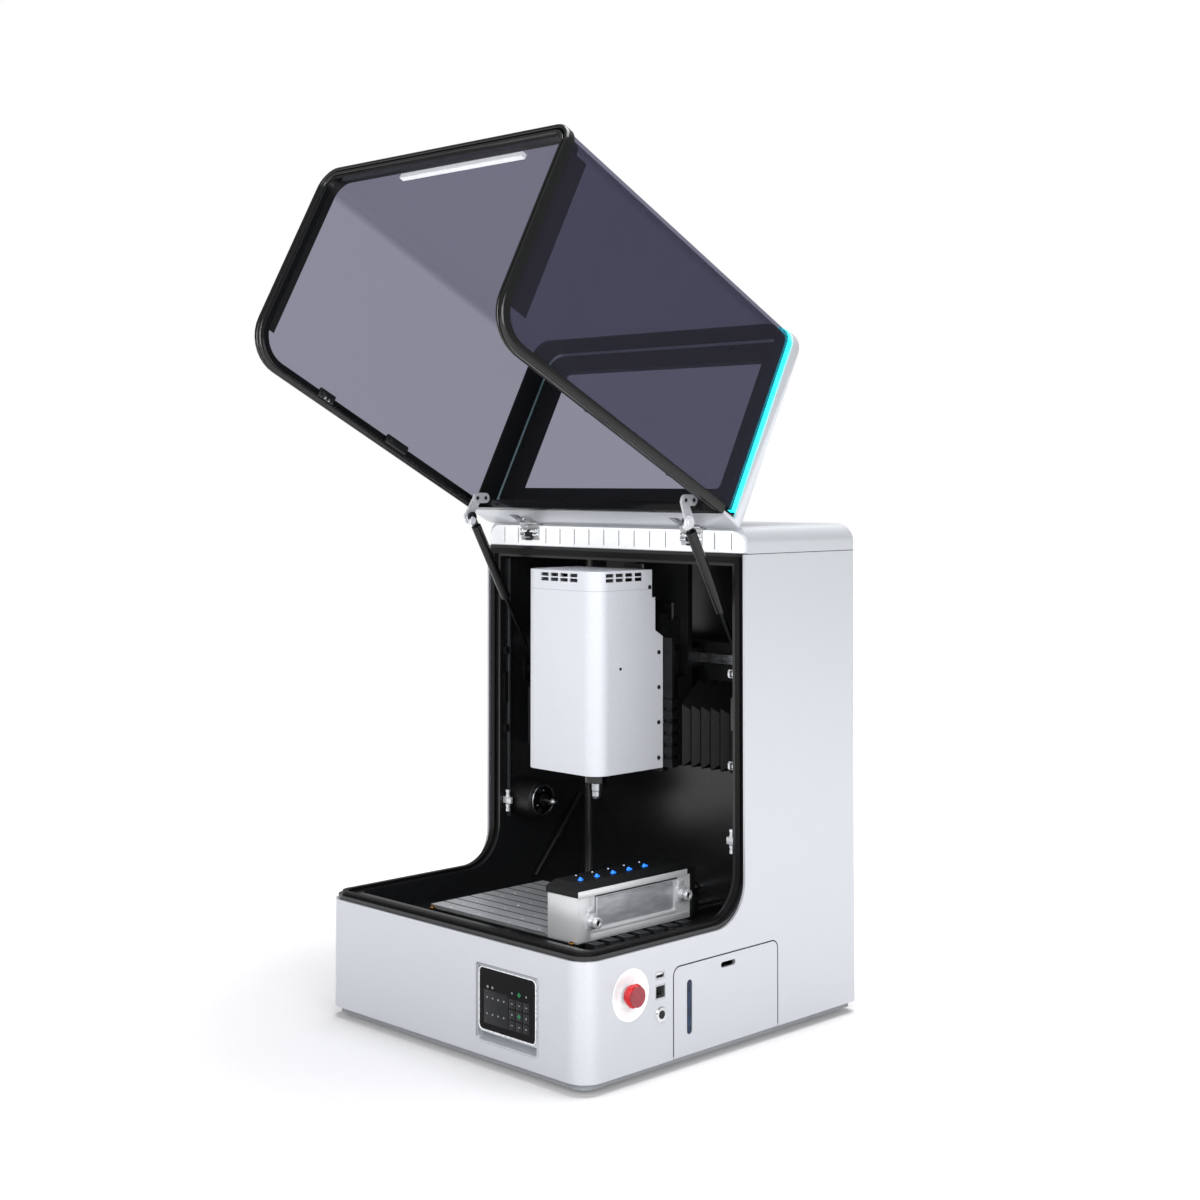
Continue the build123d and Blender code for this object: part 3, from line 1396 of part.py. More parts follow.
roof_cap.part.label = "roof_cap"
export_step(roof_cap.part, "parts/roof_cap.step")

# Roof frame: black ring under the cap, carrying the roof pane
frame_x = hood_half_w - 13.4
frame_y = (front_face + 14.0, hood_y - 19.0)
frame_r = 18.0
frame_z = (body_h - 11.0, body_h - cap_skin)
frame_lip = 7.0
roof_pane_gap = 0.5
with BuildPart() as roof_frame:
    with BuildSketch(Plane.XY.offset(frame_z[0])):
        round_rect(about(0, frame_x), frame_y, frame_r)
        round_rect(
            about(0, window_x - frame_lip),
            (window_y[0] + frame_lip, window_y[1] - frame_lip),
            window_r - frame_lip,
            mode=Mode.SUBTRACT,
        )
    extrude(amount=frame_z[1] - frame_z[0])
roof_frame.part = swung_open(roof_frame.part)
roof_frame.part.label = "roof_frame"
export_step(roof_frame.part, "parts/roof_frame.step")

with BuildPart() as roof_glass:
    with BuildSketch(Plane.XY.offset(frame_z[1])):
        round_rect(
            about(0, window_x - roof_pane_gap),
            (window_y[0] + roof_pane_gap, window_y[1] - roof_pane_gap),
            window_r - roof_pane_gap,
        )
    extrude(amount=cap_skin - 0.5)
roof_glass.part = swung_open(roof_glass.part)
roof_glass.part.label = "roof_glass"
export_step(roof_glass.part, "parts/roof_glass.step")

# White bar low inside the front pane
bar_x = (-98.0, 119.0)
bar_z = (hood_z + 27.5, hood_z + 34.5)
bar_t = 6.0
bar_y = front_face + pane_inset + pane_t
with BuildPart() as hood_bar:
    block(bar_x, (bar_y, bar_y + bar_t), bar_z)
hood_bar.part = swung_open(hood_bar.part)
hood_bar.part.label = "hood_bar"
export_step(hood_bar.part, "parts/hood_bar.step")

# Moving hinge halves: middle knuckle, bridge and leaf inside the back plate
arm_half_w = 13.0
leaf_y = (hood_y - back_plate_t - 4, hood_y - back_plate_t)
leaf_z = (body_h - 37.0, body_h - 8.0)
with BuildPart() as hinge_arms:
    for side in (-1, 1):
        mid = side * hinge_x
        block(about(mid, arm_half_w), leaf_y, leaf_z)
        block(about(mid, inner_knuckle), (leaf_y[0], hinge_y), (leaf_z[1] - 1, hinge_z - 1))
        with BuildSketch(Plane.YZ.offset(mid - inner_knuckle)):
            with Locations((hinge_y, hinge_z)):
                Circle(knuckle_r)
        extrude(amount=2 * inner_knuckle)
        with BuildSketch(Plane.YZ.offset(mid - inner_knuckle - 1)):
            with Locations((hinge_y, hinge_z)):
                Circle(pin_r + running)
        extrude(amount=2 * inner_knuckle + 2, mode=Mode.SUBTRACT)
hinge_arms.part = swung_open(hinge_arms.part)
hinge_arms.part.label = "hinge_arms"
export_step(hinge_arms.part, "parts/hinge_arms.step")

# Brackets on the hood rim with the upper pivot pins of the lift struts
pivot_y, pivot_z = 43.2, body_h - 59.1
rim_inner = hood_half_w - rim_w
bracket_z = (body_h - 74.0, body_h - 52.0)
bracket_y = (9.0, 22.5)
pivot_disc_r = 8.0
with BuildPart() as link_brackets:
    for side in (-1, 1):
        base = (link_x[0], rim_inner)
        block(base if side > 0 else mirrored(base), bracket_y, bracket_z)
        with BuildSketch(Plane.YZ.offset(side * link_x[0])):
            with Locations((pivot_y, pivot_z)):
                Circle(pivot_disc_r)
            Polygon(
                (bracket_y[1] - 1, bracket_z[0]),
                (pivot_y, pivot_z - pivot_disc_r),
                (pivot_y, pivot_z + pivot_disc_r),
                (bracket_y[1] - 1, bracket_z[1]),
                align=None,
            )
        extrude(amount=side * (link_x[1] - link_x[0]))
        with BuildSketch(Plane.YZ.offset(side * (link_x[0] + 1))):
            with Locations((pivot_y, pivot_z)):
                Circle(pivot_r)
        extrude(amount=-side * (tongue_t + face_gap + 2.5))
link_brackets.part = swung_open(link_brackets.part)
link_brackets.part.label = "link_brackets"
export_step(link_brackets.part, "parts/link_brackets.step")

# Lift struts: gas cylinder at the hood, rod at the wall, drawn pulled out
turn = radians(hood_open)
open_y = hinge_y + (pivot_y - hinge_y) * cos(turn) + (pivot_z - hinge_z) * sin(turn)
open_z = hinge_z - (pivot_y - hinge_y) * sin(turn) + (pivot_z - hinge_z) * cos(turn)
strut_l = hypot(open_y - stud_y, open_z - stud_z)
strut_dir = (0, (open_y - stud_y) / strut_l, (open_z - stud_z) / strut_l)
cylinder_r = 6.5
rod_slip = 0.08
cylinder_s = (115.0, strut_l - 14.0)
cylinder_bore_end = cylinder_s[1] - 4.0
rod_end = 130.0
eye_neck = 4.0


def strut_plane(side, s):
    """Plane across a strut, the given distance from its wall end."""
    origin = (side * strut_x, stud_y + strut_dir[1] * s, stud_z + strut_dir[2] * s)
    return Plane(origin, x_dir=(1, 0, 0), z_dir=strut_dir)


for side_name, side in (("left", -1), ("right", 1)):
    with BuildPart() as strut_cylinder:
        with BuildSketch(strut_plane(side, cylinder_s[0])):
            Circle(cylinder_r)
        extrude(amount=cylinder_s[1] - cylinder_s[0])
        with BuildSketch(strut_plane(side, cylinder_s[1] - 1)):
            Rectangle(tongue_t, 2 * eye_neck)
        extrude(amount=strut_l - cylinder_s[1] + 1)
        with BuildSketch(Plane.YZ.offset(side * strut_x - tongue_t / 2)):
            with Locations((open_y, open_z)):
                Circle(eye_r)
        extrude(amount=tongue_t)
        with BuildSketch(Plane.YZ.offset(side * strut_x - tongue_t)):
            with Locations((open_y, open_z)):
                Circle(pivot_r + running)
        extrude(amount=2 * tongue_t, mode=Mode.SUBTRACT)
        with BuildSketch(strut_plane(side, cylinder_s[0] - 1)):
            Circle(rod_r + rod_slip)
        extrude(amount=cylinder_bore_end - cylinder_s[0] + 1, mode=Mode.SUBTRACT)
    strut_cylinder.part.label = "strut_cylinder_" + side_name
    export_step(strut_cylinder.part, "parts/strut_cylinder_" + side_name + ".step")

    with BuildPart() as strut_rod:
        with BuildSketch(strut_plane(side, eye_r)):
            Circle(rod_r)
        extrude(amount=rod_end - eye_r)
        with BuildSketch(strut_plane(side, 0)):
            Rectangle(tongue_t, 2 * eye_neck)
        extrude(amount=2 * eye_r)
        with BuildSketch(Plane.YZ.offset(side * strut_x - tongue_t / 2)):
            with Locations((stud_y, stud_z)):
                Circle(eye_r)
        extrude(amount=tongue_t)
    strut_rod.part.label = "strut_rod_" + side_name
    export_step(strut_rod.part, "parts/strut_rod_" + side_name + ".step")
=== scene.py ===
import math
import bmesh
import bpy
from mathutils import Matrix, Vector


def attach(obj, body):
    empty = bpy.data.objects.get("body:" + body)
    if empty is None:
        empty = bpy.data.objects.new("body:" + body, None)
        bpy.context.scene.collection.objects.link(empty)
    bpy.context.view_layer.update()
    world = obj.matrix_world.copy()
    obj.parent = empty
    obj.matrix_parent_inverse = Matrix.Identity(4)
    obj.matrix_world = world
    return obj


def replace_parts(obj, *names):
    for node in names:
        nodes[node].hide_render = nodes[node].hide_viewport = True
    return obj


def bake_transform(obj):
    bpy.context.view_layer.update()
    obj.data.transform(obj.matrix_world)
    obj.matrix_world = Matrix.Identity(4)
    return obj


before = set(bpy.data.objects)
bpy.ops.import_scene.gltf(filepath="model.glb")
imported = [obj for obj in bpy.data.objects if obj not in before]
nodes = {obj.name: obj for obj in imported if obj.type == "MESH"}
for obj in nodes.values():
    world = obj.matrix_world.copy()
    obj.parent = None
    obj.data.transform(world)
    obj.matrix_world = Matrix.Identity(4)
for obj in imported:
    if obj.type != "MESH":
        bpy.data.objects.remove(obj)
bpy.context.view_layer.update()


# Housing: folded and welded sheet steel, sprayed with a satin silver paint
# whose metal flakes give a soft sheen, with the back panel in the same paint.
def linear(hex_colour):
    """sRGB hex colour as linear light with full alpha."""
    parts = [int(hex_colour[i:i + 2], 16) / 255 for i in (0, 2, 4)]
    return [p / 12.92 if p <= 0.04045 else ((p + 0.055) / 1.055) ** 2.4 for p in parts] + [1.0]


def node(owner, kind, into=None, settings=None, **sockets):
    """Add a shader node with its settings, socket values or links, and the shader socket it feeds."""
    tree = owner.node_tree
    made = tree.nodes.new("ShaderNode" + kind)
    for name, value in (settings or {}).items():
        setattr(made, name, value)
    for name, value in sockets.items():
        socket = made.inputs[name.replace("_", " ")]
        if isinstance(value, bpy.types.NodeSocket):
            tree.links.new(value, socket)
        else:
            socket.default_value = value
    if into:
        shader = tree.nodes["Principled BSDF"]
        tree.links.new(made.outputs[0], shader.inputs[into.replace("_", " ")])
    return made


def material(name, dark, pale, grain, bump=0.0, stretch=(1, 1, 1), rough=None, **finish):
    """Material with two tones mottled at a grain size in millimetres, and a bump of that grain."""
    made = bpy.data.materials.new(name)
    made.use_nodes = True
    shader = made.node_tree.nodes["Principled BSDF"]
    for socket, value in finish.items():
        shader.inputs[socket.replace("_", " ")].default_value = value
    place = node(made, "TexCoord").outputs["Object"]
    place = node(made, "Mapping", Vector=place, Scale=stretch).outputs[0]
    mottle = node(made, "TexNoise", Vector=place, Scale=1000 / grain, Detail=3.0).outputs["Fac"]
    tones = node(made, "ValToRGB", "Base_Color", Fac=mottle).color_ramp.elements
    tones[0].position, tones[1].position = 0.3, 0.7
    tones[0].color, tones[1].color = linear(dark), linear(pale)
    if rough:
        node(made, "MapRange", "Roughness", Value=mottle, To_Min=rough[0], To_Max=rough[1])
    if bump:
        node(made, "Bump", "Normal", Height=mottle, Strength=0.4, Distance=bump / 1000)
    return made


def dress(finish, *names):
    """Give CAD nodes a material."""
    for name in names:
        mesh = nodes[name].data
        mesh.materials.clear()
        mesh.materials.append(finish)


# The 1 mm mottle is far coarser than real flake, so that it shows.
silver_paint = material(
    "satin_silver_paint", "bec1c6", "c8cbd0", grain=1.0, bump=0.01, rough=(0.34, 0.42),
    Metallic=0.6, Coat_Weight=0.3, Coat_Roughness=0.25,
)
dress(silver_paint, "outer_shell", "rear_panel", "tank_door", "screen_bezel")

# Top cover: the same paint, with a shadow line where it meets the housing.
cover_paint = silver_paint.copy()
cover_paint.name = "satin_silver_with_seam"
seam_height = 0.5809
place = node(cover_paint, "TexCoord").outputs["Object"]
height = node(cover_paint, "SeparateXYZ", Vector=place).outputs["Z"]
joint = node(cover_paint, "Math", settings={"operation": "LESS_THAN"}, Value=height)
joint.inputs[1].default_value = seam_height
mottle = cover_paint.node_tree.nodes["Color Ramp"].outputs["Color"]
node(cover_paint, "MixRGB", "Base_Color", Fac=joint.outputs[0], Color1=mottle, Color2=linear("3c3e42"))
dress(cover_paint, "top_cover")

# Header strip: white gloss moulding with pressed grooves.
white_moulding = material(
    "gloss_white_abs", "eceef0", "f4f5f7", grain=6.0, bump=0.02, rough=(0.28, 0.36), Coat_Weight=0.3
)
dress(white_moulding, "header_strip", "hood_bar")

# Base plate: folded steel in plain grey paint.
base_grey = material("mid_grey_paint", "85888c", "909397", grain=2.0, bump=0.02, rough=(0.4, 0.5))
dress(base_grey, "base_plate")

# Chamber lining and machine frames: sheet steel in black powder coat, with
# the fine orange peel that powder leaves.
black_powder = material(
    "black_powder_coat", "08090a", "0d0e0f", grain=1.6, bump=0.05, rough=(0.34, 0.46),
    Specular_IOR_Level=0.3,
)
dress(black_powder, "strut_studs", "gantry_beam", "x_carriage", "head_plate", "table_base")
satin_black = material(
    "satin_black_sheet", "121314", "18191b", grain=6.0, bump=0.01, rough=(0.2, 0.27)
)
dress(satin_black, "chamber_liner", "rim_flange")

# Black plastic and rubber: moulded with a fine sparked texture.
black_plastic = material(
    "moulded_black_nylon", "0a0b0c", "101112", grain=0.8, bump=0.03, rough=(0.38, 0.5),
    Specular_IOR_Level=0.3,
)
dress(black_plastic, "power_inlet", "power_rocker", "rim_clips", "wall_hub",
      "cable_chain", "magazine_cover", "coolant_tube")
black_rubber = material(
    "black_rubber", "050506", "09090a", grain=0.7, bump=0.05, rough=(0.4, 0.5), Specular_IOR_Level=0.2
)
dress(black_rubber, "feet", "rim_gasket")

# Hood and column frames: extruded aluminium in glossy black paint.
frame_black = material(
    "gloss_black_paint", "060708", "0a0b0c", grain=3.0, bump=0.02, rough=(0.14, 0.2),
    Specular_IOR_Level=0.4,
)
dress(frame_black, "strut_cylinder_left", "strut_cylinder_right",
      "axis_motors", "z_motor", "spindle_motor")
matt_frame_black = material(
    "matt_black_paint", "0a0b0d", "0f1012", grain=2.0, bump=0.03, rough=(0.42, 0.52),
    Specular_IOR_Level=0.25,
)
dress(matt_frame_black, "roof_frame")

# Steels: ground rails and screws, zinc-plated brackets, polished chrome.
ground_steel = material(
    "ground_steel", "8d9093", "aeb1b4", grain=0.6, bump=0.01, stretch=(0.05, 1, 1),
    rough=(0.2, 0.34), Metallic=1.0,
)
dress(ground_steel, "linear_rails", "x_screw", "y_screw", "z_screw", "hub_knob", "spindle_nose")
# Strut rods: steel coloured near black as painted shade.
rod_steel_painted_shade = material(
    "steel_rod_with_painted_shade", "1b1c1e", "2a2b2d", grain=0.8, bump=0.01, rough=(0.2, 0.3), Metallic=1.0
)
dress(rod_steel_painted_shade, "strut_rod_left", "strut_rod_right")
zinc_plate = material(
    "zinc_plated_steel", "b4b6b8", "d0d2d4", grain=2.2, bump=0.02, rough=(0.24, 0.36), Metallic=0.9
)
dress(zinc_plate, "hinge_cups", "hinge_arms", "port_sockets")
chrome = material("polished_chrome", "c9cbcd", "dcdee0", grain=8.0, rough=(0.06, 0.12), Metallic=1.0)
dress(chrome, "magazine_fittings")

# Head cover: sheet steel with a light grey satin enamel.
head_enamel = material(
    "light_grey_enamel", "c0c3c9", "c7cad0", grain=2.0, bump=0.02, rough=(0.34, 0.42),
    Coat_Weight=0.3, Coat_Roughness=0.25,
)

# Table slats and magazine block: machined aluminium, matt anodised.
slat_aluminium = material(
    "machined_aluminium", "b4b7ba", "c8cbce", grain=1.2, bump=0.02, stretch=(0.08, 1, 1),
    rough=(0.3, 0.45), Metallic=0.5,
)
dress(slat_aluminium, "table_slats")
block_aluminium = material(
    "silver_anodised_aluminium", "d6d8db", "e2e4e6", grain=0.8, bump=0.01,
    rough=(0.34, 0.44), Metallic=0.35,
)
dress(block_aluminium, "magazine_block")

# Stop button: red moulded head in a white dish.
stop_red = material(
    "gloss_red_abs", "a60a12", "b60d16", grain=5.0, rough=(0.28, 0.34), Specular_IOR_Level=0.35
)
dress(stop_red, "stop_head")
dress(white_moulding, "stop_collar")
dress(zinc_plate, "stop_stem")

# Tank: pale moulded tub behind the door, with a dark blue level window.
tub_plastic = material("pale_polypropylene", "c4c8cb", "d0d3d6", grain=3.0, bump=0.02, rough=(0.4, 0.5))
dress(tub_plastic, "coolant_tank")
level_glass = material(
    "dark_blue_acrylic", "0a1626", "173352", grain=9.0, rough=(0.08, 0.14), Specular_IOR_Level=0.3
)
dress(level_glass, "level_window")

# Boards behind the chamber, out of sight.
board_green = material("solder_mask_green", "1c4430", "2a5c42", grain=2.0, rough=(0.3, 0.4))
dress(board_green, "electronics")

# Screen glass: black gloss, switched on but dim.
screen_glass = material(
    "black_cover_glass", "020203", "040405", grain=20.0, rough=(0.05, 0.08), Specular_IOR_Level=0.12
)
dress(screen_glass, "touch_screen")

# Hood panes: grey tinted acrylic, the front pane darker with painted shade. Most
# light passes straight through, so a straight-through share keeps the view clear.
pane_tint = bpy.data.materials.new("grey_tinted_acrylic")
pane_tint.use_nodes = True
tree = pane_tint.node_tree
place = node(pane_tint, "TexCoord").outputs["Object"]
ahead = node(pane_tint, "VectorMath", settings={"operation": "DOT_PRODUCT"}, Vector=place)
front_pane_normal = (0.0, -0.4633, -0.8862)
ahead.inputs[1].default_value = front_pane_normal
# The front pane's darker colour is painted shade, masked along the front pane's normal.
front = node(
    pane_tint, "MapRange", Value=ahead.outputs["Value"], From_Min=-0.7905, From_Max=-0.8005
)
tint_with_painted_shade = node(pane_tint, "MixRGB", Fac=front.outputs[0], Color1=linear("c6c6d0"), Color2=linear("b2b2be"))
clear = node(pane_tint, "BsdfTransparent", Color=tint_with_painted_shade.outputs[0])
gloss = tree.nodes["Principled BSDF"]
gloss.inputs["Roughness"].default_value = 0.05
gloss.inputs["Base Color"].default_value = linear("4c4b58")
mix = node(pane_tint, "MixShader", Fac=0.12)
tree.links.new(clear.outputs[0], mix.inputs[1])
tree.links.new(gloss.outputs[0], mix.inputs[2])
tree.links.new(mix.outputs[0], tree.nodes["Material Output"].inputs["Surface"])
dress(pane_tint, "hood_glass", "roof_glass")

# Light strip: cyan diffuser, lit.
strip_light = material(
    "cyan_light_diffuser", "19e6e6", "2ff0ee", grain=9.0, rough=(0.3, 0.4), Emission_Strength=1.0
)
strip_light.node_tree.nodes["Principled BSDF"].inputs["Emission Color"].default_value = linear("12e0e6")
dress(strip_light, "light_strip")

# Hood rim: extruded aluminium frame in gloss black with two ridged seal
# beads and a groove between them, swept round the hood's open bottom and back.
hinge_line = Vector((0.0, 22.8, 611.7))
hood_angle = math.radians(117.6)
swing = (
    Matrix.Translation(hinge_line) @ Matrix.Rotation(-hood_angle, 4, "X")
    @ Matrix.Translation(-hinge_line)
)


def face_outwards(form):
    """Turn the faces outwards; a closed form that ends up inside out is reversed."""
    bmesh.ops.recalc_face_normals(form, faces=form.faces)
    if all(e.is_manifold for e in form.edges) and form.calc_volume(signed=True) < 0:
        bmesh.ops.reverse_faces(form, faces=form.faces)


def finish_piece(name, form, finish, body, on_hood=False, crease=30):
    """Turn a form in millimetres into a piece that rides on a body, if one is named."""
    if on_hood:
        form.transform(swing)
    form.transform(Matrix.Scale(0.001, 4))
    face_outwards(form)
    mesh = bpy.data.meshes.new(name)
    form.to_mesh(mesh)
    form.free()
    mesh.shade_smooth()
    mesh.set_sharp_from_angle(angle=math.radians(crease))
    mesh.materials.append(finish)
    made = bpy.data.objects.new(name, mesh)
    bpy.context.scene.collection.objects.link(made)
    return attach(made, body) if body else made


def brick(form, low, high, bevel=0.4):
    """Box between two corners, its edges rounded over."""
    size = [b - a for a, b in zip(low, high)]
    middle = [(a + b) / 2 for a, b in zip(low, high)]
    place = Matrix.Translation(middle) @ Matrix.Diagonal(size + [1.0])
    made = bmesh.ops.create_cube(form, size=1.0, matrix=place)["verts"]
    edges = list({e for v in made for e in v.link_edges})
    bmesh.ops.bevel(form, geom=edges, offset=bevel, segments=2, profile=0.5, affect="EDGES")


def swept(form, stations, section, closed=False):
    """Skin a section of (inward, deep) points along stations of (place, inward, deep)."""
    rows = []
    for place, inward, deep in stations:
        rows.append([
            form.verts.new(Vector(place) + Vector(inward) * u + Vector(deep) * v) for u, v in section
        ])
    count = len(section)
    pairs = list(zip(rows, rows[1:])) + ([(rows[-1], rows[0])] if closed else [])
    for near, far in pairs:
        for index in range(count):
            after = (index + 1) % count
            form.faces.new((near[index], near[after], far[after], far[index]))
    if not closed:
        form.faces.new(rows[0])
        form.faces.new(rows[-1])


hood_half, hood_front, hood_back, hood_low = 223.4, -245.0, 23.0, 155.5
front_r, side_r = 28.0, 50.0


def rim_stations(top):
    """Stations along the rim: down the left side, round the front and up the right side."""
    left = [
        ((-hood_half, hood_back, z), (1, 0, 0), (0, -1, 0)) for z in (top, 390.0, hood_low + side_r)
    ]
    for index in range(1, 10):
        turn = math.radians(10 * index)
        left.append((
            (-hood_half, hood_back - side_r + side_r * math.cos(turn),
             hood_low + side_r - side_r * math.sin(turn)),
            (1, 0, 0), (0, -math.cos(turn), math.sin(turn)),
        ))
    left.append(((-hood_half, -120.0, hood_low), (1, 0, 0), (0, 0, 1)))
    for index in range(10):
        turn = math.radians(180 + 10 * index)
        left.append((
            (-hood_half + front_r + front_r * math.cos(turn),
             hood_front + front_r + front_r * math.sin(turn), hood_low),
            (-math.cos(turn), -math.sin(turn), 0), (0, 0, 1),
        ))
    right = [((-p[0], p[1], p[2]), (-i[0], i[1], i[2]), d) for p, i, d in reversed(left)]
    return left + right


rim_section = (
    (0, 12), (0, 3.2), (0.5, 1.5), (1.6, 0.4), (3.2, 0), (4.8, 0.4), (5.7, 1.6), (6.0, 3.2),
    (6.7, 4.3), (7.4, 3.2), (7.7, 1.8), (8.5, 0.8), (9.8, 0.5), (11.0, 0.9), (11.7, 2.0),
    (12.0, 4.0), (13.4, 4.6), (15, 4.8), (15, 12),
)
form = bmesh.new()
swept(form, rim_stations(574.0), rim_section)
brick(form, (-hood_half + 2, 11, 567), (hood_half - 2, 23, 574))
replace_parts(finish_piece("rim_extrusion", form, frame_black, "hood", on_hood=True), "hood_rim")

# Pane borders: black bands painted on the inside of the panes, next to the
# rim and under the light strip, as a thin coat seen from within.
def plan_stations(inset, back, low):
    """Stations round the hood's plan at an inset, all at one height."""
    half, front, radius = hood_half - inset, hood_front + inset, front_r - inset
    path = [((-half, back), (1, 0))]
    for cx, start in ((-half + radius, 180), (half - radius, 270)):
        for index in range(9):
            turn = math.radians(start + 90 * index / 8)
            path.append((
                (cx + radius * math.cos(turn), front + radius + radius * math.sin(turn)),
                (-math.cos(turn), -math.sin(turn)),
            ))
    path.append(((half, back), (-1, 0)))
    return [((x, y, low), (i, j, 0), (0, 0, 1)) for (x, y), (i, j) in path]


pane_inner = 6.6
pane_face = hood_half - pane_inner
form = bmesh.new()
low_band = [(0, 0), (0.8, 0), (0.8, 14.5), (0, 14.5)]
high_band = [(0, 0), (3.2, 0), (3.2, 31), (0, 31)]
swept(form, plan_stations(pane_inner, -19.0, 167.0), low_band)
brick(form, (pane_face - 0.9, -217, 181), (pane_face - 0.1, -19, 199), 0.2)
swept(form, plan_stations(pane_inner, 10.8, 571.5), high_band)
finish_piece("pane_borders", form, matt_frame_black, "hood", on_hood=True)

# Roof frame screws and rim catches: black button heads, and small moulded
# black catches with a zinc striker on the rim's left side.
def turned(form, at, axis, profile, sides=28):
    """Turned part: rings of (radius, height) set along an axis from a point."""
    turn = Vector((0, 0, 1)).rotation_difference(Vector(axis)).to_matrix().to_4x4()
    place = Matrix.Translation(at) @ turn
    rings = []
    for radius, height in profile:
        ring = []
        for index in range(sides):
            angle = 2 * math.pi * index / sides
            ring.append(form.verts.new(
                place @ Vector((radius * math.cos(angle), radius * math.sin(angle), height))
            ))
        rings.append(ring)
    for low, high in zip(rings, rings[1:]):
        for index in range(sides):
            after = (index + 1) % sides
            form.faces.new((low[index], low[after], high[after], high[index]))
    form.faces.new(rings[0])
    form.faces.new(rings[-1])


def screw(form, at, axis, radius):
    """Button-head screw with a round socket."""
    r = radius
    turned(form, at, axis, (
        (r, -0.2), (r, 0.2 * r), (0.86 * r, 0.45 * r), (0.6 * r, 0.58 * r),
        (0.46 * r, 0.58 * r), (0.4 * r, 0.1 * r), (0.02 * r, 0.1 * r),
    ), sides=20)


frame_under = 603.0
form = bmesh.new()
for y, places in ((-222, (-150, -75, 38, 120)), (-5, (-180, -86, 26, 150))):
    for x in places:
        screw(form, (x, y, frame_under), (0, 0, -1), 4.0)
for y in (-190, -140, -90, -40):
    for side in (-1, 1):
        screw(form, (side * 200, y, frame_under), (0, 0, -1), 2.6)
for z in (330.0, 480.0):
    screw(form, (hood_half - 13.4, 20.0, z), (0, 1, 0), 2.4)
finish_piece("roof_frame_screws", form, frame_black, "hood", on_hood=True)

form = bmesh.new()
lip = hood_half - 15
for z, length in ((281.0, 26.0), (408.0, 38.0)):
    brick(form, (-lip, 8.0, z - length / 2), (-lip + 5.0, 19.0, z + length / 2), 1.5)
    brick(form, (-lip + 4.0, 10.0, z - length / 2 + 3), (-lip + 8.0, 16.0, z - length / 2 + 11), 1.2)
finish_piece("rim_catches", form, black_plastic, "hood", on_hood=True)
form = bmesh.new()
brick(form, (-lip + 4.5, 16.0, 277.0), (-lip + 7.5, 19.5, 279.0), 0.5)
brick(form, (-lip + 4.5, 16.0, 284.0), (-lip + 6.5, 20.0, 285.6), 0.5)
finish_piece("rim_striker", form, zinc_plate, "hood", on_hood=True)

# Lift brackets: pressed steel with a bright zinc finish, an oblong ear with
# two dark screws and an arm bent outwards to the strut's upper pin. Given as
# the hood stands open.
bright_zinc = material(
    "bright_zinc_plate", "c6c8cb", "dcdee1", grain=3.0, bump=0.01, rough=(0.2, 0.3), Metallic=0.45
)


def pressed(form, outline, thick):
    """Plate on an outline of (x, y, z) points, thickened along x."""
    near = [form.verts.new(point) for point in outline]
    far = [form.verts.new((x + thick, y, z)) for x, y, z in outline]
    form.faces.new(near)
    form.faces.new(far)
    for index in range(len(outline)):
        after = (index + 1) % len(outline)
        form.faces.new((near[index], near[after], far[after], far[index]))


ear_z, ear_radius, plate_thick = 644.8, 6.8, 3.0
ear_screws = (-19.5, -33.8)
form = bmesh.new()
pins = bmesh.new()
for side in (-1, 1):
    ear_x, arm_x = side * 184.0 - 1.5, side * 195.0 - 1.5
    ear = []
    for middle, start in zip(ear_screws, (-90, 90)):
        for index in range(9):
            turn = math.radians(start + 22.5 * index)
            ear.append((
                ear_x, middle + ear_radius * math.cos(turn), ear_z + ear_radius * math.sin(turn)
            ))
    pressed(form, ear, plate_thick)
    pressed(form, [
        (ear_x, -41.5, 644.0), (ear_x, -28.0, 641.0), (arm_x, -31.5, 621.0), (arm_x, -46.2, 621.0),
    ], plate_thick)
    turned(form, (arm_x, -38.9, 619.0), (1, 0, 0), (
        (0.1, 0), (7.6, 0), (8.2, 0.6), (8.2, 2.6), (7.6, 3.2), (0.1, 3.2)), sides=32)
    turned(form, (arm_x + 2.9, -38.9, 619.0), (1, 0, 0), (
        (4.6, 0), (4.6, 0.8), (4.0, 1.4), (0.1, 1.4)), sides=20)
    turned(form, (side * 190.0 - 2.5, -37.6, 614.6), (1, 0, 0), (
        (0.1, 0), (4.4, 0), (5.4, 1.0), (5.4, 5.0), (4.4, 6.0), (0.1, 6.0)), sides=24)
    for y in ear_screws:
        turned(pins, (ear_x + 2.9, y, ear_z), (1, 0, 0), (
            (2.6, 0), (2.6, 0.5), (2.1, 0.9), (1.2, 0.9), (1.0, 0.2), (0.1, 0.2)), sides=18)
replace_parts(finish_piece("lift_brackets", form, bright_zinc, "hood"), "link_brackets")
finish_piece("bracket_screws", pins, black_plastic, "hood")

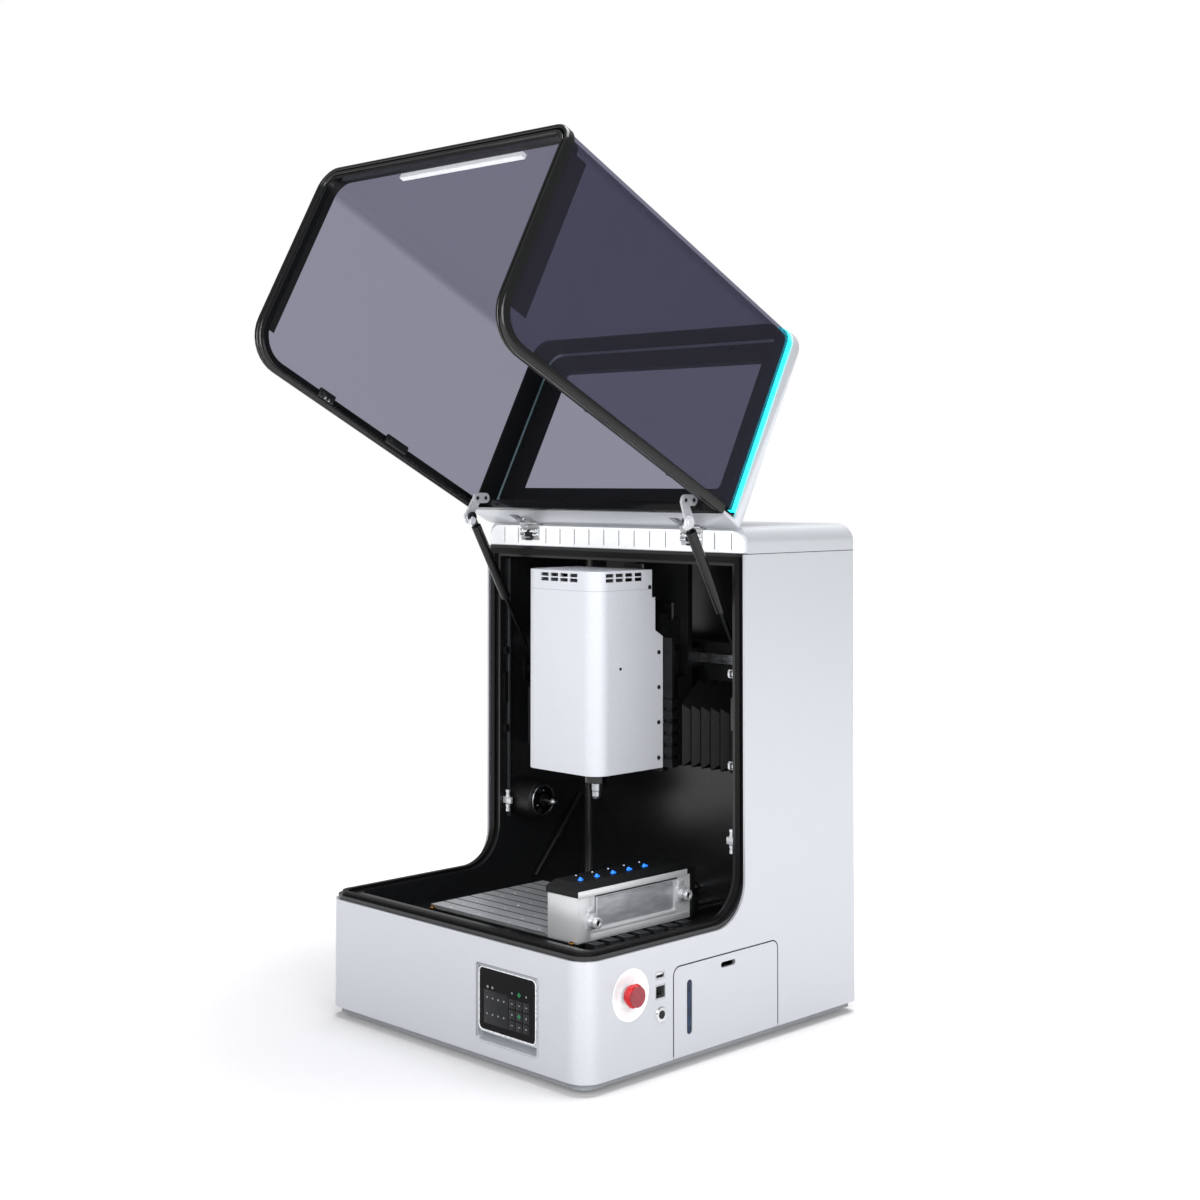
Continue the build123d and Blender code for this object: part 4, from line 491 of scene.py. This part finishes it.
# Hood hinges: chromed barrels with a black torsion spring between them, and
# a thin black stay on each hinge.
hinge_x = 143.0
barrel_y, barrel_z = 23.8, 596.6
form = bmesh.new()
springs = bmesh.new()
for side in (-1, 1):
    mid = side * hinge_x
    for start in (-16.5, 7.5):
        turned(form, (mid + start, barrel_y, barrel_z), (1, 0, 0), (
            (0.1, 0), (2.7, 0), (3.4, 0.7), (3.4, 8.3), (2.7, 9.0), (0.1, 9.0)))
    brick(form, (mid - 16.5, 21.4, 599.4), (mid + 16.5, 24.3, 604.4), 0.5)
    for x in (-12.5, 12.5):
        turned(form, (mid + x, 21.4, 602.0), (0, -1, 0), (
            (1.7, 0), (1.7, 0.5), (1.2, 0.8), (0.1, 0.8)), sides=16)
    for index in range(7):
        turned(springs, (mid - 6.6 + 1.9 * index, barrel_y, barrel_z), (1, 0, 0), (
            (2.0, 0), (3.0, 0.2), (3.3, 0.8), (3.0, 1.4), (2.0, 1.6)), sides=24)
    brick(springs, (mid - 6.0, 20.6, 588.8), (mid + 4.0, barrel_y, 591.4), 0.5)
    brick(springs, (mid + 3.0, 20.8, 590.6), (mid + 5.0, barrel_y, 596.0), 0.5)
finish_piece("hinge_barrels", form, chrome, "machine")
finish_piece("hinge_springs", springs, black_plastic, "machine")

# Roof cap: the CAD shell with deeper notches in its rear wall, so that it
# shuts over the hinges. Same satin silver paint as the housing.
def carved(solid, tools):
    """Cut one form out of another and return what is left as a new form."""
    pair = []
    for part in (solid, tools):
        face_outwards(part)
        mesh = bpy.data.meshes.new("carving")
        part.to_mesh(mesh)
        part.free()
        pair.append(bpy.data.objects.new("carving", mesh))
        bpy.context.scene.collection.objects.link(pair[-1])
    cut = pair[0].modifiers.new("cut", "BOOLEAN")
    cut.operation, cut.solver, cut.use_self, cut.object = "DIFFERENCE", "EXACT", True, pair[1]
    ready = pair[0].evaluated_get(bpy.context.evaluated_depsgraph_get())
    left = bmesh.new()
    left.from_mesh(bpy.data.meshes.new_from_object(ready))
    for made in pair:
        bpy.data.objects.remove(made)
    return left


cap = bmesh.new()
cap.from_mesh(nodes["roof_cap"].data)
cap.transform(Matrix.Scale(1000, 4))
bmesh.ops.remove_doubles(cap, verts=cap.verts, dist=0.01)
notches = bmesh.new()
for side in (-1, 1):
    mid = side * hinge_x
    brick(notches, (mid - 17.4, 15.0, 587.6), (mid + 17.4, 26.0, 606.0), 0.3)
notches.transform(swing)
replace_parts(finish_piece("notched_roof_cap", carved(cap, notches), silver_paint, "hood"), "roof_cap")

# Bellows: pleated black rubber cloth, the CAD form split into two halves, one
# for each side.
for side, name in ((-1, "bellows_left"), (1, "bellows_right")):
    pleats = bmesh.new()
    pleats.from_mesh(nodes["bellows"].data)
    bmesh.ops.delete(pleats, geom=[v for v in pleats.verts if v.co.x * side < 0], context="VERTS")
    pleats.transform(Matrix.Scale(1000, 4))
    half = finish_piece(name, pleats, black_rubber, None, crease=20)
    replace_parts(half, "bellows")
    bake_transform(half)

# Head cover: a pressed steel shell in light grey enamel, rounded at its front
# corners, stepped at the back and slotted for air near the top, with a seam
# under the cap and black side screws.
cover_low, cover_high = (-66.0, -60.0, 307.0), (62.8, 60.0, 556.4)
cover_corner, cover_sheet = 22.0, 2.0


def cover_plan(inset, radius):
    """Cover outline in plan at an inset: open at the back, two rounded front corners."""
    left, right, front = cover_low[0] + inset, cover_high[0] - inset, cover_low[1] + inset
    plan = [(left, cover_high[1] + inset, -1, 0)]
    for cx, start in ((left + radius, 180), (right - radius, 270)):
        for index in range(13):
            turn = math.radians(start + 7.5 * index)
            i, j = math.cos(turn), math.sin(turn)
            plan.append((cx + radius * i, front + radius + radius * j, i, j))
    return plan + [(right, cover_high[1] + inset, 1, 0)]


def prism(form, outline, low, high):
    """Upright prism on an outline in plan."""
    rings = [[form.verts.new((p[0], p[1], z)) for p in outline] for z in (low, high)]
    form.faces.new(rings[0])
    form.faces.new(rings[1])
    for index in range(len(outline)):
        after = (index + 1) % len(outline)
        form.faces.new((rings[0][index], rings[0][after], rings[1][after], rings[1][index]))


form, tools = bmesh.new(), bmesh.new()
prism(form, cover_plan(0.0, cover_corner), cover_low[2], cover_high[2])
prism(
    tools, cover_plan(cover_sheet, cover_corner - cover_sheet), cover_low[2] - 1,
    cover_high[2] - cover_sheet,
)
back_step = (
    (60.0, 472.0), (46.0, 480.0), (46.0, 521.5), (40.0, 521.5), (40.0, 558.0), (64.0, 558.0),
    (64.0, 472.0),
)
pressed(tools, [(-80.0, y, z) for y, z in back_step], 160.0)
for column in range(4):
    for z in (545.0, 551.0):
        x, y = -27.5 + 17.0 * column, -35.5 + 17.0 * column
        for low, high in (
            ((x - 7.0, -62.0, z - 2.2), (x + 7.0, -56.0, z + 2.2)),
            ((-68.0, y - 7.0, z - 2.2), (68.0, y + 7.0, z + 2.2)),
        ):
            size = [b - a for a, b in zip(low, high)]
            middle = [(a + b) / 2 for a, b in zip(low, high)]
            slot = Matrix.Translation(middle) @ Matrix.Diagonal(size + [1.0])
            bmesh.ops.create_cube(tools, size=1.0, matrix=slot)
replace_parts(finish_piece("head_shell", carved(form, tools), head_enamel, "z_head"), "head_cover")

form = bmesh.new()
seam = [
    ((x, min(y, 39.0), 532.0), (i, j, 0), (0, 0, 1))
    for x, y, i, j in cover_plan(0.0, cover_corner)
]
swept(form, seam, [(-0.3, 0), (0.06, 0), (0.06, 0.5), (-0.3, 0.5)])
seam_grey = material("seam_shadow_enamel", "8f9196", "9a9ca1", grain=4.0, rough=(0.5, 0.6))
finish_piece("head_cap_seam", form, seam_grey, "z_head")
form = bmesh.new()
for y, z, radius in (
    (35.3, 534.5, 2.7), (52.4, 452.2, 2.7), (52.3, 408.3, 2.7), (52.1, 364.5, 2.7), (51.9, 320.1, 2.7),
    (-17.3, 435.8, 1.9),
):
    screw(form, (cover_high[0], y, z), (1, 0, 0), radius)
    screw(form, (cover_low[0], y, z), (-1, 0, 0), radius)
finish_piece("head_screws", form, black_plastic, "z_head")

# Touch screen: bright rim round black glass, with dim grey key tiles, pale
# marks and two green plus signs, all generic shapes without lettering.
screen_low, screen_high = (56.8, 43.3), (150.2, 113.7)
screen_y, screen_corner = -244.0, 6


def screen_spot(across, down):
    """Place on the glass from shares of its width and height."""
    return (
        screen_low[0] + across * (screen_high[0] - screen_low[0]),
        screen_high[1] - down * (screen_high[1] - screen_low[1]),
    )


form = bmesh.new()
rim_path = []
left, right = screen_low[0] + screen_corner, screen_high[0] - screen_corner
bottom, top = screen_low[1] + screen_corner, screen_high[1] - screen_corner
for cx, cz, start in ((right, top, 0), (left, top, 90), (left, bottom, 180), (right, bottom, 270)):
    for index in range(7):
        turn = math.radians(start + 15 * index)
        rim_path.append((
            (cx + screen_corner * math.cos(turn), screen_y, cz + screen_corner * math.sin(turn)),
            (math.cos(turn), 0, math.sin(turn)), (0, 1, 0),
        ))
rim_bead = [(-0.5, -0.1), (-0.2, -0.9), (0.8, -0.9), (1.1, -0.1), (1.1, 0.6), (-0.5, 0.6)]
swept(form, rim_path, rim_bead, closed=True)
bright_trim = material(
    "bright_anodised_trim", "dfe1e4", "eceef0", grain=5.0, rough=(0.25, 0.3), Metallic=0.3
)
finish_piece("screen_rim", form, bright_trim, "machine")

# Recess walls: thin darker bands on the left and top walls of the screen recess, painted shade.
form = bmesh.new()
brick(form, (52.5, -245.08, 34.0), (56.2, -244.5, 116.0), 0.06)
brick(form, (53.4, -245.08, 115.0), (153.0, -244.5, 117.2), 0.06)
recess_shade = material(
    "painted_recess_wall_shade", "8f9297", "9b9ea3", grain=1.0, rough=(0.45, 0.55), Metallic=0.3
)
finish_piece("recess_walls", form, recess_shade, "machine")
# Recess edges: dark lines round the recess's outer edge, painted shade in the crease.
form = bmesh.new()
for low, high in (
    ((51.9, 33.0), (52.5, 116.6)), ((53.0, 117.2), (154.4, 117.8)), ((154.9, 33.0), (155.3, 116.6))
):
    brick(form, (low[0], -245.07, low[1]), (high[0], -244.6, high[1]), 0.05)
recess_crease_shade = material("painted_recess_crease_shade", "5c5e62", "6a6c70", grain=2.0, rough=(0.5, 0.6))
finish_piece("recess_edges", form, recess_crease_shade, "machine")

mark_y = screen_y - 0.14
tiles, marks, green = bmesh.new(), bmesh.new(), bmesh.new()
for column in range(3):
    for row in range(4):
        x, z = screen_spot(0.585 + 0.125 * column, 0.295 + 0.17 * row)
        if row:
            brick(tiles, (x - 4.9, screen_y - 0.16, z - 5.3), (x + 4.9, screen_y + 0.02, z + 5.3), 0.07)
        if (row, column) in ((0, 1), (2, 1)):
            for wide, tall in ((2.6, 0.7), (0.7, 2.6)):
                brick(green, (x - wide, mark_y - 0.1, z - tall), (x + wide, mark_y, z + tall), 0.04)
        elif row % 2:
            brick(marks, (x - 1.5, mark_y - 0.1, z - 0.5), (x + 1.5, mark_y, z + 0.5), 0.04)
        else:
            turned(marks, (x, mark_y, z), (0, -1, 0), ((1.2, 0), (1.2, 0.1), (0.1, 0.1)), sides=12)
for across, sides in ((0.15, 12), (0.235, 17)):
    x, z = screen_spot(across, 0.3)
    turned(marks, (x, screen_y, z), (0, -1, 0), ((1.6, 0), (1.6, 0.12), (0.1, 0.12)), sides=sides)
x, z = screen_spot(0.3, 0.62)
brick(tiles, (x - 20.0, screen_y - 0.1, z - 19.0), (x + 20.0, screen_y + 0.02, z + 19.0), 0.05)
for row, down in enumerate((0.47, 0.73)):
    for column in range(4):
        x, z = screen_spot(0.14 + 0.1 * column, down)
        brick(marks, (x - 1.2, screen_y - 0.2, z - 0.9), (x + 1.2, screen_y - 0.08, z + 0.9), 0.05)
tile_grey = material(
    "dim_key_tile", "17181a", "1e1f21", grain=6.0, rough=(0.2, 0.3), Specular_IOR_Level=0.2
)
mark_grey = material(
    "pale_key_mark", "54575b", "6a6d71", grain=3.0, rough=(0.3, 0.4), Emission_Strength=0.1
)
key_green = material(
    "green_key_mark", "0c6e3b", "118347", grain=3.0, rough=(0.3, 0.4), Emission_Strength=0.2
)
key_green.node_tree.nodes["Principled BSDF"].inputs["Emission Color"].default_value = linear("13a557")
finish_piece("key_tiles", tiles, tile_grey, "machine")
finish_piece("key_marks", marks, mark_grey, "machine")
finish_piece("green_keys", green, key_green, "machine")

# Sockets: dark moulded inserts at the bottom of the two plated shells, and a
# bright ring round the jack.
side_face = 227.0
form = bmesh.new()
brick(form, (213.2, -130.7, 109.5), (225.0, -118.3, 112.5), 0.2)
brick(form, (213.2, -131.2, 88.0), (214.6, -116.8, 101.0), 0.2)
brick(form, (214.4, -128.4, 86.8), (226.0, -119.6, 91.0), 0.2)
turned(form, (side_face + 1.4, -123.0, 69.0), (1, 0, 0), ((4.6, 0), (4.6, 0.3), (0.1, 0.3)), sides=32)
finish_piece("socket_inserts", form, black_plastic, "machine")
form = bmesh.new()
brick(form, (213.2, -130.7, 113.4), (226.2, -118.3, 116.2), 0.2)
turned(form, (side_face, -123.0, 69.0), (1, 0, 0), (
    (8.8, 0), (8.8, 0.9), (8.0, 1.7), (6.4, 1.7), (5.2, 1.5), (5.2, 0)), sides=40)
finish_piece("socket_trims", form, chrome, "machine")

# Stop button skirt: red moulded barrel between the head and the dish, darker than the head as painted
# shade.
form = bmesh.new()
turned(form, (225.4, -172.3, 100.0), (1, 0, 0), (
    (0.1, 0), (9.8, 0), (10.6, 1.0), (10.9, 6.0), (11.4, 13.2), (0.1, 13.2)), sides=40)
red_painted_shade = material(
    "red_abs_painted_shade", "7c0a1c", "8e0f24", grain=5.0, rough=(0.2, 0.28), Coat_Weight=0.4
)
finish_piece("stop_skirt", form, red_painted_shade, "stop_stem")

# Door edge: a dark shadow gap round the tank door, laid in a hair above the
# paint and rounded at its two upper corners.
shadow = material(
    "shadow_gap", "1b1c1e", "242528", grain=3.0, rough=(0.6, 0.7), Specular_IOR_Level=0.2
)
door_low, door_front, door_back, door_corner = 17.0, -102.0, 84.0, 10.0
form = bmesh.new()
path = [((side_face, door_front, door_low), (0, 1, 0), (1, 0, 0))]
for cy, start in ((door_front + door_corner, 180), (door_back - door_corner, 90)):
    for index in range(9):
        turn = math.radians(start - 11.25 * index)
        outward = Vector((0, math.cos(turn), math.sin(turn)))
        corner = Vector((side_face, cy, 107.0))
        path.append((corner + outward * door_corner, -outward, (1, 0, 0)))
path.append(((side_face, door_back, door_low), (0, -1, 0), (1, 0, 0)))
swept(form, path, [(-0.7, -0.2), (-0.7, 0.05), (0.6, 0.05), (0.6, -0.2)])
finish_piece("door_gap", form, shadow, "machine")

# Column fittings: dark grey trims up both inner edges, bright zinc catches on
# the right with dark pads between them, and a zinc latch low on either side.
# The same dark grey also serves as painted shade in the header and magazine grooves.
grey_trim_and_groove_shade = material(
    "dark_grey_moulding_and_groove_shade", "2c2d2f", "37393b", grain=3.0, bump=0.02, rough=(0.35, 0.45)
)
column_x = 204.9
catch_heights = (436.0, 326.0)
form = bmesh.new()
for near, far in ((201.4, 204.8), (-204.8, -201.4)):
    brick(form, (near, 40.6, 214.0), (far, 44.4, 563.0), 0.8)
finish_piece("column_trims", form, grey_trim_and_groove_shade, "machine")
form = bmesh.new()
brick(form, (200.8, 36.0, 543.0), (column_x, 38.4, 553.0), 0.6)
for z in catch_heights:
    brick(form, (191.0, 36.0, z - 5.0), (column_x, 38.4, z + 5.0), 0.6)
    for x, tall in ((193.4, 3.4), (199.4, 2.2)):
        brick(form, (x - 1.4, 33.6, z - tall), (x + 1.4, 36.4, z + tall), 0.5)
for side in (-1, 1):
    span = sorted((side * 190.0, side * column_x))
    brick(form, (span[0], 33.0, 232.5), (span[1], 37.5, 241.5), 1.0)
    for z in (246.0, 227.0):
        turned(form, (side * 197.0, 35.0, z - 5.0), (0, 0, 1), (
            (2.6, 0), (3.0, 0.4), (3.0, 3.6), (2.3, 4.0), (2.3, 6.0), (3.0, 6.4), (3.0, 9.6),
            (2.6, 10.0)), sides=18)
finish_piece("door_catches", form, bright_zinc, "machine")
form = bmesh.new()
for z in catch_heights:
    brick(form, (195.6, 33.9, z - 4.2), (197.2, 36.2, z + 4.2), 0.3)
brick(form, (196.0, 34.2, 368.0), (column_x, 40.0, 408.0), 1.2)
finish_piece("catch_pads", form, grey_trim_and_groove_shade, "machine")

# Magazine dressing: a brushed plate in the side recess, painted groove shade
# over it, a folded flange at the front corner and clamps behind the fittings.
magazine_side = 128.0
fitting_places = ((-136.0, 158.0), (20.0, 166.0))
brushed_plate = material(
    "brushed_aluminium_plate", "9fa1a7", "b9bbc1", grain=5.0, bump=0.01, stretch=(1, 0.25, 1),
    rough=(0.3, 0.45), Metallic=0.35,
)
form = bmesh.new()
brick(form, (magazine_side - 3.6, -122.5, 149.5), (magazine_side - 1.6, 8.5, 182.5), 0.3)
finish_piece("magazine_plate", form, brushed_plate, "table")
form = bmesh.new()
brick(form, (magazine_side - 0.5, -128.0, 184.6), (magazine_side + 0.2, 14.0, 187.4), 0.1)
brick(form, (magazine_side - 0.5, -128.6, 146.6), (magazine_side + 0.15, -127.2, 186.0), 0.1)
finish_piece("magazine_grooves", form, grey_trim_and_groove_shade, "table")
form = bmesh.new()
brick(form, (magazine_side - 0.4, -156.6, 136.5), (magazine_side + 1.3, -136.5, 187.6), 0.5)
brick(form, (magazine_side - 0.4, -136.8, 136.5), (magazine_side + 1.0, 36.0, 143.0), 0.4)
brick(form, (magazine_side - 0.4, -134.0, 144.5), (magazine_side + 1.0, 12.0, 147.4), 0.4)
brick(form, (magazine_side - 0.4, -128.0, 187.1), (magazine_side + 1.4, 14.0, 189.4), 0.4)
brick(form, (80.0, -158.2, 136.5), (magazine_side + 1.2, -156.8, 187.6), 0.4)
brick(form, (magazine_side + 0.9, -157.4, 187.2), (magazine_side + 2.5, 30.0, 194.6), 0.5)
finish_piece("magazine_frame", form, block_aluminium, "table")
form = bmesh.new()
for y, z in fitting_places:
    brick(form, (magazine_side - 0.2, y - 8.0, z - 9.0), (magazine_side + 3.0, y + 8.0, z + 9.0), 1.4)
    brick(form, (magazine_side - 0.2, y - 5.0, z + 8.0), (magazine_side + 2.2, y + 5.0, z + 16.0), 1.0)
    turned(form, (magazine_side + 2.0, y, z), (1, 0, 0), (
        (6.2, 0), (6.2, 5.0), (5.2, 5.6), (5.2, 7.0), (6.4, 7.6), (6.4, 11.8), (5.6, 12.4),
        (3.6, 12.4), (3.2, 8.0), (0.1, 8.0)), sides=32)
finish_piece("magazine_clamps", form, bright_zinc, "table")
form = bmesh.new()
for y, z in fitting_places:
    turned(form, (magazine_side + 8.6, y, z), (1, 0, 0), (
        (5.4, 0), (6.0, 0.2), (6.0, 0.8), (5.4, 1.0)), sides=32)
    turned(form, (magazine_side + 10.2, y, z), (1, 0, 0), (
        (3.2, 0), (3.2, 1.4), (0.1, 1.4)), sides=24)
finish_piece("fitting_seals", form, black_rubber, "table")

# Magazine lamps: small lit blue domes over the five stations, each with a
# pale pin lamp behind it.
lamp_blue = material(
    "lit_blue_lens", "0f63d8", "2a86f0", grain=4.0, rough=(0.1, 0.15), Emission_Strength=0.8
)
lamp_blue.node_tree.nodes["Principled BSDF"].inputs["Emission Color"].default_value = linear("1272ee")
dress(lamp_blue, "magazine_lights")
pin_blue = material(
    "pale_pin_lamp", "8db4e6", "b4cff2", grain=3.0, rough=(0.2, 0.3), Emission_Strength=0.5
)
lid_top, station_pitch = 202.6, 27.2
domes, pins = bmesh.new(), bmesh.new()
for station in range(-2, 3):
    y = -82.0 + station_pitch * station
    turned(domes, (112.0, y, lid_top), (0, 0, 1), (
        (3.0, 0), (3.0, 0.6), (2.5, 1.1), (1.9, 1.3), (1.7, 2.8), (1.1, 3.7), (0.1, 4.0)), sides=24)
    turned(pins, (91.0, y + 14.0, lid_top), (0, 0, 1), (
        (1.1, 0), (1.1, 0.6), (0.7, 1.0), (0.1, 1.1)), sides=16)
finish_piece("lamp_domes", domes, lamp_blue, "table")
finish_piece("pin_lamps", pins, pin_blue, "table")

# Table slats: four bright screws in each slat, dark gaps between the slats, a
# bright front edge, and a brass drain plug at each front corner.
table_front, slat_pitch = -160.0, 195.0 / 9
form = bmesh.new()
for slat in range(9):
    y = table_front + (slat + 0.5) * slat_pitch
    for x in (-98.0, -46.0, 8.0, 60.0):
        turned(form, (x, y - 3.0, 139.9), (0, 0, 1), (
            (1.9, 0), (1.9, 0.14), (1.5, 0.2), (0.9, 0.2), (0.8, 0.04), (0.1, 0.04)), sides=14)
pale_screw = material("bright_screw_head", "e4e6e8", "f2f3f4", grain=1.0, rough=(0.3, 0.4))
finish_piece("slat_screws", form, pale_screw, "table")
form = bmesh.new()
for gap in range(1, 9):
    y = table_front + gap * slat_pitch
    brick(form, (-127.8, y - 1.35, 137.2), (78.6, y + 1.35, 140.03), 0.1)
finish_piece("slat_gaps", form, shadow, "table")
form = bmesh.new()
brick(form, (-127.6, table_front - 0.6, 139.2), (78.6, table_front + 0.4, 140.1), 0.3)
finish_piece("slat_edge", form, chrome, "table")
brass = material("turned_brass", "9a6a2c", "b98442", grain=2.0, rough=(0.2, 0.3), Metallic=1.0)
form = bmesh.new()
for x, y in ((-124.0, -161.0), (124.0, -163.0)):
    turned(form, (x, y, 134.6), (0, 0, 1), (
        (3.2, 0), (3.2, 2.2), (2.2, 2.8), (2.2, 4.0), (0.1, 4.2)), sides=20)
finish_piece("corner_plugs", form, brass, "table")

# Cable chain: glossy moulded top plates, one over each link, with a raised
# edge and a dark gap between them; their grey is painted sheen on black links.
black_nylon_painted_sheen = material(
    "gloss_black_nylon_painted_sheen", "222426", "2e3133", grain=2.0, bump=0.02, rough=(0.12, 0.2)
)
link_pitch = 178.0 / 7
form = bmesh.new()
for link in range(7):
    y = -152.0 + link * link_pitch
    brick(form, (133.4, y + 3.2, 133.4), (148.6, y + 18.6, 135.8), 0.7)
    brick(form, (147.0, y + 2.4, 122.0), (149.4, y + 19.6, 135.0), 0.7)
    brick(form, (134.4, y + 3.4, 135.2), (147.6, y + 6.0, 136.6), 0.5)
finish_piece("chain_plates", form, black_nylon_painted_sheen, "machine")

# Hose elbow behind the magazine: a moulded black block with a round collar.
form = bmesh.new()
brick(form, (110.0, 37.2, 132.0), (131.0, 50.0, 160.0), 4.0)
turned(form, (120.0, 48.0, 146.0), (0, 1, 0), (
    (7.0, 0), (7.6, 1.0), (7.6, 7.0), (6.6, 8.0), (0.1, 8.0)), sides=28)
finish_piece("hose_elbow", form, black_plastic, "table")

# Hub: bright ring round the face of the wall hub and three small screws.
hub_y, hub_z, hub_screw_circle = 66.0, 238.0, 12.5
form = bmesh.new()
turned(form, (-161.2, hub_y, hub_z), (1, 0, 0), (
    (18.6, 0), (20.4, 0.4), (20.8, 1.2), (20.4, 1.9), (18.8, 1.9), (18.4, 1.2)), sides=48)
for index in range(3):
    turn = math.radians(90 + 120 * index)
    across, up = hub_screw_circle * math.cos(turn), hub_screw_circle * math.sin(turn)
    screw(form, (-160.0, hub_y + across, hub_z + up), (1, 0, 0), 1.8)
finish_piece("hub_ring", form, ground_steel, "machine")

# Header grooves: dark shadow strips at the bottom of the pressed grooves.
groove_start, groove_pitch, hinge_clear = -193.4, 26.6, 19.0
form = bmesh.new()
for index in range(16):
    x = groove_start + groove_pitch * index
    if abs(abs(x) - hinge_x) > hinge_clear:
        brick(form, (x - 0.95, 26.2, 585.3), (x + 0.95, 27.1, 604.7), 0.2)
finish_piece("groove_shadows", form, grey_trim_and_groove_shade, "machine")

# Studio: pale floor, large soft lights and the camera at the photograph's
# viewing angle.
floor_mesh = bpy.data.meshes.new("studio_floor")
floor_form = bmesh.new()
bmesh.ops.create_grid(floor_form, x_segments=1, y_segments=1, size=12.0)
floor_form.to_mesh(floor_mesh)
floor_form.free()
floor = bpy.data.objects.new("studio_floor", floor_mesh)
bpy.context.scene.collection.objects.link(floor)
paper = material("white_floor_paper", "c4c4c6", "c8c8c9", grain=4.0, rough=(0.8, 0.9))
place = node(paper, "TexCoord").outputs["Object"]
reach = node(paper, "VectorMath", settings={"operation": "LENGTH"}, Vector=place).outputs["Value"]
node(
    paper, "MapRange", "Emission_Strength", Value=reach,
    From_Min=0.45, From_Max=2.2, To_Min=0.12, To_Max=0.9,
)
floor_mesh.materials.append(paper)

world = bpy.data.worlds.new("studio")
bpy.context.scene.world = world
world.use_nodes = True
background = world.node_tree.nodes["Background"]
background.inputs["Color"].default_value = (1.0, 1.0, 1.0, 1.0)
seen = world.node_tree.nodes.new("ShaderNodeLightPath").outputs["Is Camera Ray"]
glow = world.node_tree.nodes.new("ShaderNodeMapRange")
glow.inputs["To Min"].default_value = 0.4
world.node_tree.links.new(seen, glow.inputs["Value"])
world.node_tree.links.new(glow.outputs[0], background.inputs["Strength"])
bpy.context.scene.view_settings.view_transform = "Standard"


def softbox(name, at, towards, size, power):
    """Large rectangular light aimed at a point."""
    light = bpy.data.lights.new(name, "AREA")
    light.shape = "RECTANGLE"
    light.size, light.size_y = size
    light.energy = power
    lamp = bpy.data.objects.new(name, light)
    lamp.location = at
    lamp.rotation_euler = (Vector(towards) - Vector(at)).to_track_quat("-Z", "Y").to_euler()
    bpy.context.scene.collection.objects.link(lamp)


softbox("key_light", (0.7, -2.7, 1.35), (0, -0.1, 0.4), (1.5, 1.7), 34)
softbox("side_light", (2.6, -1.0, 1.1), (0.1, -0.05, 0.5), (1.0, 1.6), 26)
softbox("fill_light", (1.2, -1.0, 0.85), (0.2, -0.2, 0.3), (0.5, 0.6), 5)
softbox("top_light", (0.2, 0.3, 2.8), (0, 0, 0.3), (2.2, 2.2), 128)

camera_data = bpy.data.cameras.new("photo_camera")
camera_data.sensor_width = 36.0
camera_data.lens = 55.2
camera_data.shift_x = 0.0365
camera_data.shift_y = -0.1414
camera = bpy.data.objects.new("photo_camera", camera_data)
camera.location = (1.63506, -1.66146, 0.66743)
camera.rotation_euler = (math.pi / 2 + 0.0275, -0.0009, 0.7979)
bpy.context.scene.collection.objects.link(camera)
bpy.context.scene.camera = camera

bpy.context.view_layer.update()
